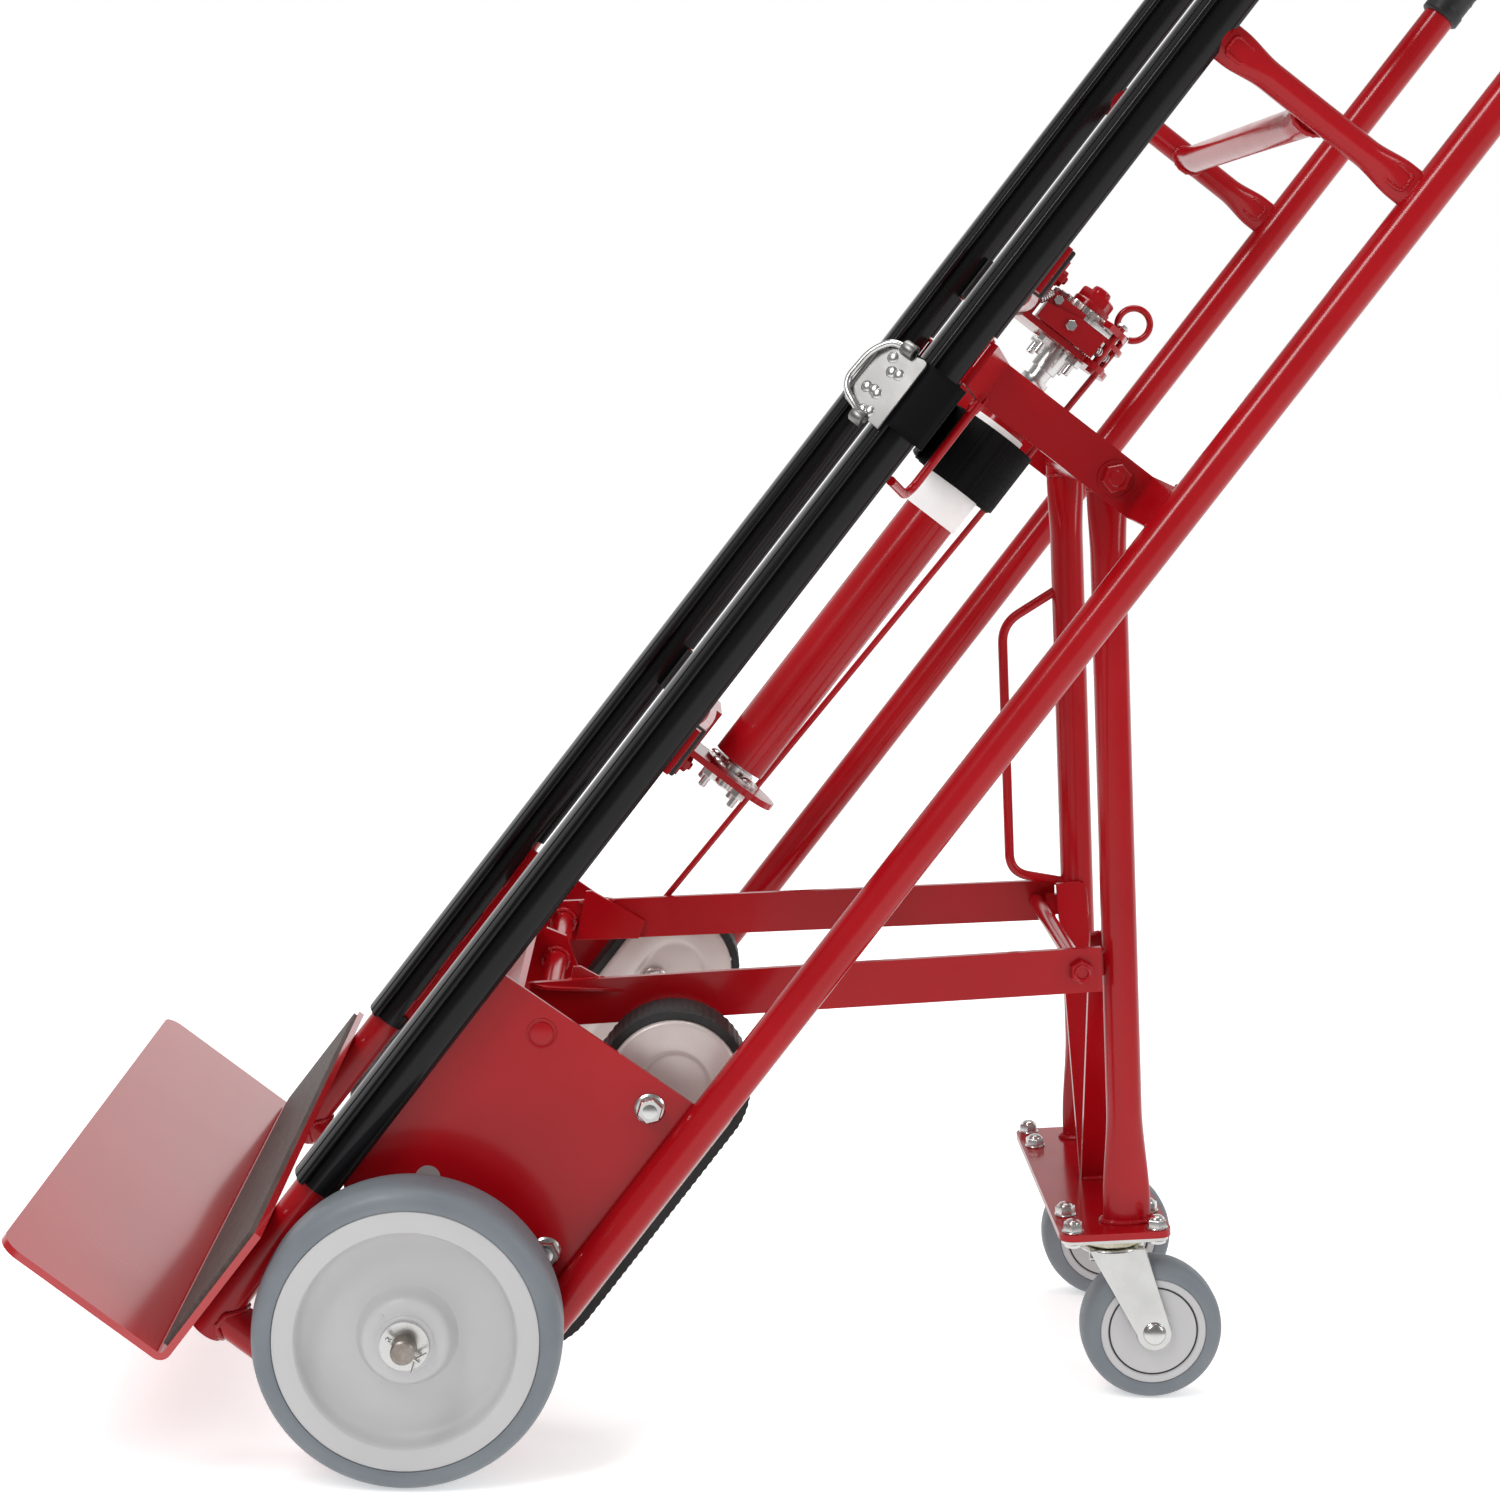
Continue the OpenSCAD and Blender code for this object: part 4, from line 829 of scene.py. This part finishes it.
# ---------------------------------------------------------------- legs and brace
def legs():
    """Leg tubes pinched over the pivot tube at the top and pressed flat at the foot."""
    welds = Shape()
    for label, side in SIDES:
        y = side * LEG_Y
        path, radius = [], []
        length = LEG_LENGTH - 0.2
        for i in range(121):
            s = 2.5 + (length - 2.5) * i / 120
            top, foot = ease(1 - (s - 14) / 44), ease((s - (length - 84)) / 70)
            path.append((s, y, 0))
            radius.append((12.7 - 4.6 * top - 4.9 * foot, 12.7 + 1.5 * top + 4.3 * foot))
        Shape().sweep(path, radius, 36).build(
            f"leg_{label}_tube", "red", [f"leg_{label}"], 60, space=LEG, body="legs")
        foot = [(LEG_LENGTH - 0.6, y + 8.6 * a, 17.8 * b) for a, b in circle(1, 48)]
        welds.bead(foot, 2.8, True)
        ring = [(9.5 + 0.6 * abs(b), y + 9 * a, 13.5 * b) for a, b in circle(1, 40)]
        welds.bead(ring, 1.4, True)
        # the V brace's arm along the leg's inner side
        arm_y = side * (LEG_Y - 12.7 - 1.2)
        for a, b in ((333, 356), (366, 392)):
            for edge in (-8, 4):
                welds.bead([(a, arm_y, edge), (b, arm_y - side * (b - a) * 0.3, edge)], 1.9)
    for edge in (-19, 4):
        welds.bead([(LEG_LENGTH - 0.6, -9, edge), (LEG_LENGTH - 0.6, 9, edge)], 2.6)
    for s in (-1, 1):
        welds.bead([(LEG_LENGTH - 0.6, s * 5.5, -18), (LEG_LENGTH - 0.6, s * 5.5, 3)], 2.4)
        welds.bead([(330, s * 84.6, -17), (330, s * 84.6, 2)], 1.9)
    welds.build("leg_welds", "red", smooth=80, space=LEG, body="legs")

    handle = fillet([(101, LEG_Y, -11), (125, LEG_Y, -52.5), (322, LEG_Y, -52.5), (331, LEG_Y, -11)], 15, 10)
    shape = Shape().sweep(resample(handle, 5), 3.75, 20)
    for s in (101.5, 331):
        shape.bead([(s + 5 * a, LEG_Y + 5 * b, -12.6) for a, b in circle(1, 24)], 1.2, True)
    shape.build("lift_handle_wire", "red", ["lift_handle"], 60, space=LEG, body="legs")

    rod = Shape()
    end = BAR_Y + 2.5 + 3.2
    for s in (-1, 1):
        y0 = s * LEG_Y - 3
        rod.prism([(340.5, -25), (356.5, -25), (356.5, -12.2), (340.5, -12.2)], side_plane(y0), 6)
        rod.bead([(340, s * LEG_Y, -12.4), (357, s * LEG_Y, -12.4)], 2.2)
    tip = [(0, end + 2.4), (3.6, end + 2.6), (4.3, end + 4.6), (5.2, end + 4.8), (6, end + 3.8)]
    rod.lathe([(r, -a) for r, a in tip] + tip[::-1], along_y(ROD_S, 0, -ROD_N), 28)
    for s in (-1, 1):
        out = along_y(ROD_S, s * (BAR_Y + 2.7), -ROD_N, s)
        rod.hexagon(out, 15.2, 6.2, 1.2)
    rod.build("leg_cross_pin", "red", ["leg_cross_rod"], 35, space=LEG, body="legs")

    pivot = Shape()
    end = 137 + 2.5
    tip = [(6, end + 8.6), (4.8, end + 9.8), (0, end + 9.8)]
    pivot.lathe([(r, -a) for r, a in tip[::-1]] + tip, along_y(PIVOT.x, 0, PIVOT.z), 28)
    for s in (-1, 1):
        out = along_y(PIVOT.x, s * (end + 0.1), PIVOT.z, s) @ Matrix.Rotation(0.3, 4, "Z")
        pivot.lathe([(0, 0), (12.6, 0), (12.9, 0.6), (12.3, 1.7), (0, 1.9)], out, 40)
        pivot.hexagon(raised(out, 1.7), 18.5, 6.6, 1.5)
    pivot.build("leg_pivot_bolt", "red", ["leg_pivot_bolts"], 35)


def brace_wings():
    """Triangular top flange at the front end of each brace bar, and the beads on the brace rod."""
    shape = Shape()
    pin = (PIVOT.x - ROD_S * cos(LEG_ANGLE) - ROD_N * sin(LEG_ANGLE),
           PIVOT.z - ROD_S * sin(LEG_ANGLE) + ROD_N * cos(LEG_ANGLE))
    run = Vector((PLUG_X - pin[0], 0, PLUG_Z - pin[1]))
    slope = atan2(run.z, run.x)
    slant = atan2(131.5 - BAR_Y, run.length)
    for side in (-1, 1):
        place = (moved(pin[0], side * BAR_Y, pin[1]) @ Matrix.Rotation(-slope, 4, "Y")
                 @ Matrix.Rotation(side * slant, 4, "Z"))
        far = run.length
        # upright gusset on the bar's inner face, and a narrow ledge on its outer face (up is -z here)
        gusset = [(far - 9, 15), (far - 19, -24), (far - 24, -24), (far - 65, 2), (far - 59, 16)]
        inner = -2.7 if side > 0 else 2.7
        shape.prism(gusset, place @ side_plane(min(inner, inner - side * 4)), 4)
        shape.bead([(far - 12, inner, -14.6), (far - 42, inner, -14.6)], 2.0, place=place)
        outer = side * 2.5
        ledge = [(10, outer), (2, outer + side * 7), (-12, outer + side * 7), (-54, outer)]
        tilt = place @ moved(far, 0, -15) @ Matrix.Rotation(radians(7), 4, "Y")
        shape.prism(ledge, tilt @ moved(0, 0, 0.8), 2.4)
        for y, size in ((127.8, 2.4), (3.4, 2.2)):
            shape.bead([(PLUG_X + 9 * a, side * y, PLUG_Z + 9 * b) for a, b in circle(1, 32)], size, True)
    shape.build("brace_wings", "red", smooth=45, bevel=0.5, body="brace")


# ---------------------------------------------------------------- strap and roller
STRAP_MID, STRAP_W = 658, 48


def strap_band():
    """Webbing from the roll, behind the left rail and round its guard, with woven edges."""
    line = [(-2, 259.4), (-236.6, 283.0), (-237.6, 287), (-237.4, 312), (-229.5, 325.5)]
    path = resample(fillet([(0, a, b) for a, b in line], 7, 8), 3)
    rings = []
    n = len(path)
    for i, p in enumerate(path):
        t = (path[min(i + 1, n - 1)] - path[max(i - 1, 0)]).normalized()
        side = Vector((0, -t.z, t.y))
        sag = -3.0 * sin(pi * min(1.0, i / (n * 0.72))) if i < n * 0.72 else 0.0
        q = p + side * sag
        ring = []
        for face in (1, -1):
            for k in range(13):
                u = face * (-1 + 2 * k / 12)
                edge = face * (1.05 if abs(u) < 0.9 else 1.3)
                ring.append(q + Vector((STRAP_MID + u * STRAP_W / 2, 0, 0)) + side * edge)
        rings.append(ring)
    Shape().skin(rings).build("strap_webbing", "web", ["strap"], 60)


def strap_winding():
    """The wound strap: a spiral of layers whose edges stand at slightly different heights."""
    turns, inner, outer = 6, 22.3, 33.9
    spiral, steps = [], 40
    pitch = (outer - inner) / turns
    shape = Shape()
    rings = []
    for i in range(turns * steps + 1):
        a = tau * i / steps + 2.2
        r = inner + pitch * i / steps
        shift = 0.9 * sin(i / steps * 2.7) + 0.35 * sin(i * 0.31)
        x0, x1 = 633.4 + shift, 682.6 + shift
        c, s = cos(a), sin(a)
        ring = []
        for x, rr in ((x0, r), (x0, r + pitch * 0.84), (x0 + 1, r + pitch * 0.95), (x1 - 1, r + pitch * 0.95),
                      (x1, r + pitch * 0.84), (x1, r)):
            ring.append((x, rr * c, ROLLER_Z + rr * s))
        rings.append(ring)
    shape.skin(rings)
    shape.build("strap_windings", "web", ["strap_roll"], 40, body="strap_roller")
    sleeve = Shape()
    sleeve.lathe([(20.6, 605), (21.7, 605), (22.1, 605.6), (22.1, 688), (21.7, 688.6), (20.6, 688.6)],
                 along_x(0, 0, ROLLER_Z), 64)
    sleeve.build("roller_sleeve", "white", ["strap_sleeve"], 35, body="strap_roller")


def strap_end_hook():
    """Tapered end plate with rivets and rolled ears, and the bent wire bail that turns in them."""
    place = moved(STRAP_MID - 3, -240.6, 313.5) @ Matrix.Rotation(radians(-33), 4, "X")
    flat = place @ moved(0, 1, 0) @ Matrix.Rotation(pi / 2, 4, "X")
    plate, rivets, wire = Shape(), Shape(), Shape()
    outline = [(-27, 0), (27, 0), (25.5, 9), (24, 22), (15, 36), (-23, 36), (-26, 22), (-26.5, 9), (-27, 0)]
    plate.prism([(p.x, p.y) for p in fillet([(a, b, 0) for a, b in outline], 4, 4)][:-1], flat, 1.6)
    # turned-up hem along the outer end
    plate.sweep(resample([Vector((14, 35.4, 1.6)), Vector((-22, 35.4, 1.6))], 3), 1.5, 12, place=flat)
    for x in (-28, 26):
        ear = flat @ moved(x, 16, 2.2) @ Matrix.Rotation(pi / 2, 4, "X")
        plate.lathe([(2.3, -5), (4.7, -5), (5.1, -4.4), (5.1, 4.4), (4.7, 5), (2.3, 5)], ear, 28)
    for x, yy in ((8, 17.5), (9, 12), (-9, 25.5), (-9, 16.5), (-8, 19.8), (-23, 18), (-21, 13), (16, 23)):
        at = flat @ moved(x, yy, 0)
        rivets.lathe([(0, 3.2), (1.9, 3.0), (3.2, 2.5), (3.9, 1.8), (4.0, 1.4), (0, 1.4)], at, 24)
        rivets.lathe([(0, -1.5), (3.2, -1.2), (4.2, 0.2), (0, 0.4)], at, 16)
    bail = [(26, 18, 2.2), (24, 29, 4.6), (11, 37, 5.6), (-12, 38.5, 5.6), (-19, 33, 6), (-23, 22, 5.6),
            (-28, 12, 2.2)]
    wire.sweep(resample(fillet(bail, 7, 8), 2), 2.4, 14, side=(0, 0, 1), place=flat)
    plate.build("hook_plate", "chrome", ["strap_hook"], 35, 0.4)
    rivets.build("hook_rivets", "zinc", smooth=50)
    wire.build("hook_wire", "zinc", smooth=60)


def strap_guide_wire():
    line = fillet([(686.4, -150, 262.5), (613, -150, 262.5), (605.5, -158, 265), (607, -208, 283)], 9, 8)
    shape = Shape().sweep(resample(line, 3), 3.25, 18)
    shape.bead([(692, -152.8, 265.8), (676, -152.8, 265.2)], 1.9)
    shape.bead([(692, -147.6, 259.2), (676, -147.8, 259.9)], 1.7)
    shape.build("strap_guide_wire", "red", ["strap_guide"], 60)


def release_rod():
    line = fillet([(204, 138, 226), (228, 138, 188), (790, 10, 189), (799, 8, 189)], 8, 8)
    turn = [(809 - 12 * cos(a), 8 + 2.4 * sin(a / 2), 190.4 + 12 * sin(a))
            for a in [radians(-20 - 325 * i / 36) for i in range(37)]]
    shape = Shape().sweep(resample([Vector(p) for p in line], 12), 2.5, 16)
    shape.sweep([Vector(p) for p in turn], 2.5, 16)
    shape.build("release_rod_wire", "red", ["release_rod"], 60, body="release_rod")


def coil(shape, start, end, r, turns, wire=0.7, place=None):
    a, b = Vector(start), Vector(end)
    axis = (b - a).normalized()
    one = axis.orthogonal().normalized()
    two = axis.cross(one)
    steps = int(turns * 14)
    path = []
    for i in range(steps + 1):
        t = i / steps
        angle = turns * tau * t
        path.append(a.lerp(b, t) + one * (r * cos(angle)) + two * (r * sin(angle)))
    shape.sweep(path, wire, 7, side=tuple(axis), place=place)


def roller_hardware():
    """Carriage bolts and nuts on both bearing plates, the ratchet's springs and bolts."""
    zinc, red = Shape(), Shape()
    for x, t in ((359.5, 5), (761, 5)):
        for y, z in ((-20, 212), (20, 212), (-20, 238), (20, 238)):
            out = along_x(x + t + 2.6, y * 0.92, z)
            zinc.lathe([(0, 3.3), (3.0, 3.0), (5.4, 1.9), (6.5, 0.3), (6.5, 0), (0, 0)], out, 24)
            back = loosely_turned(along_x(x, y * 0.92, z, -1))
            zinc.lathe([(0, 0), (6.6, 0), (6.8, 0.9), (0, 0.9)], back, 24)
            zinc.hexagon(raised(back, 0.9), 10.5, 5, 0.8)
            zinc.lathe([(0, 14.5), (2.2, 14.5), (3, 13.7), (3, 5), (0, 5)], back, 16)
    # flange welds
    for x, z in ((362, 258.6), (763.6, 258.6)):
        for at in (x - 3.2, x + 3.2):
            red.bead([(at, -31, z), (at, 31, z)], 1.5)
    # bolts through the flanges into the crossbars
    for x in (352, 800):
        for y in (-22, 22):
            out = moved(x, y, 259) @ Matrix.Rotation(pi, 4, "X")
            red.hexagon(out, 11, 4.6, 0.9)
            red.lathe([(0, 6.8), (2.2, 6.8), (3, 6.0), (3, 4), (0, 4)], out, 16)
    # keeper plate in front of the gear, with a hole for the shaft
    outline = [(24, 236), (-30, 236), (-30, 197)]
    outline += [(x - 3, z + 212.5) for x, z in circle(27, 19, radians(200), radians(140))]
    holes = [[(9.6 * a, ROLLER_Z + 9.6 * b) for a, b in circle(1, 36)]]
    red.prism(outline, moved(781.6, 0, 0) @ UPRIGHT, 4, holes)
    # block between the plates on the near side, its bolt, and a small one under it
    block = [(-35, 227), (-24, 227), (-24, 256), (-35, 256)]
    red.prism(block, moved(766.4, 0, 0) @ UPRIGHT, 22.6)
    red.prism([(766.4, 206), (784, 206), (784, 230), (779, 256), (766.4, 256)], side_plane(-38.4), 3.2)
    zinc.hexagon(along_y(776, -38.4, 232, -1), 7.5, 2.6, 0.7)
    zinc.hexagon(along_y(785, -35, 250, -1), 6.5, 2.6, 0.6)
    coil(zinc, (768, -26, 219), (768, -14, 205), 3.9, 6.5, 0.7)
    coil(zinc, (777, -37.5, 262), (786, -33, 257.5), 3.4, 5.5, 0.7)
    coil(zinc, (774, -33, 207), (774, -20, 196), 3.6, 5.5, 0.7)
    zinc.lathe([(0, 0), (4.6, 0), (4.8, 0.5), (3.4, 2.6), (0, 2.8)], along_x(798, -28, 200), 20)
    zinc.build("roller_bolts", "zinc", smooth=40)
    red.build("roller_welds", "red", smooth=45, bevel=0.4)
    shaft, nut = Shape(), Shape()
    profile = [
        (0, 351.5), (6.8, 351.5), (8, 352.8), (8, 357), (9.6, 357.2), (9.6, 359), (8, 359.2), (8, 728),
        (10.4, 728.3), (10.8, 729), (10.8, 733), (8, 733.4), (8, 741), (9.9, 741.3), (9.9, 760), (8, 760.2),
        (8, 796), (0, 796)]
    shaft.lathe(profile, along_x(0, 0, ROLLER_Z), 48)
    nut.lathe([(8, 795.7), (14, 795.7), (15, 796.6), (15, 800.5), (14.2, 801.6), (8, 801.6)],
              along_x(0, 0, ROLLER_Z), 40)
    nut.hexagon(along_x(801, 0, ROLLER_Z), 24, 8.5, 2)
    nut.lathe([(0, 14), (4.5, 13.8), (6.6, 13), (7.4, 11), (7.6, 8), (0, 8)], along_x(801, 0, ROLLER_Z), 32)
    shaft.build("roller_axle", "zinc", ["roller_shaft"], 35, body="strap_roller")
    nut.build("roller_nut", "red", smooth=35, body="strap_roller")


for make in (
    rail_guards, grips, upper_links, frame_welds, side_plate_details, axle_ends, main_wheels, caster_wheels,
    casters, stair_climbers, legs, brace_wings, strap_band, strap_winding, strap_end_hook,
    strap_guide_wire, release_rod, roller_hardware,
):
    make()

# ---------------------------------------------------------------- studio
scene = bpy.context.scene
scene.view_settings.view_transform = "Standard"

floor_mesh = bpy.data.meshes.new("studio_floor")
floor_mesh.from_pydata([(-40, -40, 0), (40, -40, 0), (40, 40, 0), (-40, 40, 0)], [], [(0, 1, 2, 3)])
floor = bpy.data.objects.new("studio_floor", floor_mesh)
scene.collection.objects.link(floor)
pale = Paint("pale_floor", (0.90, 0.90, 0.90), 0.7, Specular_IOR_Level=0.2,
             Emission_Color=(1, 1, 1, 1), Emission_Strength=0.43)
pale.colour(pale.noise(3, 3), 0.3, 0.7, (0.895, 0.895, 0.895), (0.905, 0.905, 0.905))
floor_mesh.materials.append(pale.material)
floor.visible_glossy = False


def area(name, at, target, size, power):
    data = bpy.data.lights.new(name, "AREA")
    data.shape, data.size, data.size_y = "RECTANGLE", *size
    data.energy = power
    obj = bpy.data.objects.new(name, data)
    scene.collection.objects.link(obj)
    obj.location = at
    obj.rotation_euler = (Vector(target) - Vector(at)).to_track_quat("-Z", "Y").to_euler()


area("key", (-1.7, -1.9, 3.0), (0.0, 0, 0.6), (0.7, 1.9), 46)
area("top", (0.3, 0.6, 3.4), (0.1, 0, 0.5), (1.6, 1.4), 34)
area("fill", (2.8, -1.5, 1.6), (0.1, 0, 0.5), (0.5, 1.8), 14)

world = bpy.data.worlds.new("studio")
scene.world = world
sky = Tree(world)
split = sky.node("ShaderNodeSeparateXYZ")
sky.link(sky.node("ShaderNodeTexCoord").outputs["Generated"], split.inputs["Vector"])
towards_y, up = split.outputs["Y"], split.outputs["Z"]
seen = sky.node("ShaderNodeLightPath")


def instead(rays, usual, strength):
    """The usual brightness, but a plain strength for one kind of ray."""
    made = sky.node("ShaderNodeMix")
    sky.link(seen.outputs[rays], made.inputs[0])
    sky.link(usual, made.inputs[2])
    made.inputs[3].default_value = strength
    return made.outputs[0]


# What shines on the metal: a white wall low behind the truck and a white floor in front of it,
# with a dark room above and on the viewer's side. Diffuse light comes evenly from all round.
behind = sky.ramp(towards_y, 0.0, 0.4, 0, 1, "SMOOTHSTEP")
low_wall = sky.ramp(up, 0.22, 0.5, 1.0, 0.2, "SMOOTHSTEP")
below = sky.ramp(up, -0.1, -0.3, 0, 1, "SMOOTHSTEP")
bright = sky.joined("MAXIMUM", sky.joined("MULTIPLY", behind, low_wall), below)
shade = instead("Is Diffuse Ray", sky.ramp(bright, 0, 1, 0.18, 1.0), 0.78)
background = sky.tree.nodes["Background"]
sky.link(instead("Is Camera Ray", shade, 1.0), background.inputs["Strength"])
background.inputs["Color"].default_value = (1, 1, 1, 1)

EYE, PAN, TILT, ROLL = (-0.1429, -1.9342, 0.7533), -0.0294, -0.0877, 0.0229
camera = bpy.data.cameras.new("camera")
camera.lens, camera.sensor_width = 63.02, 36
camera.shift_y = -0.12
camera.clip_start, camera.clip_end = 0.05, 200
eye = bpy.data.objects.new("camera", camera)
scene.collection.objects.link(eye)
eye.matrix_world = (
    Matrix.Translation(EYE) @ Matrix.Rotation(PAN, 4, "Z")
    @ Matrix.Rotation(pi / 2 + TILT, 4, "X") @ Matrix.Rotation(ROLL, 4, "Z"))
scene.camera = eye
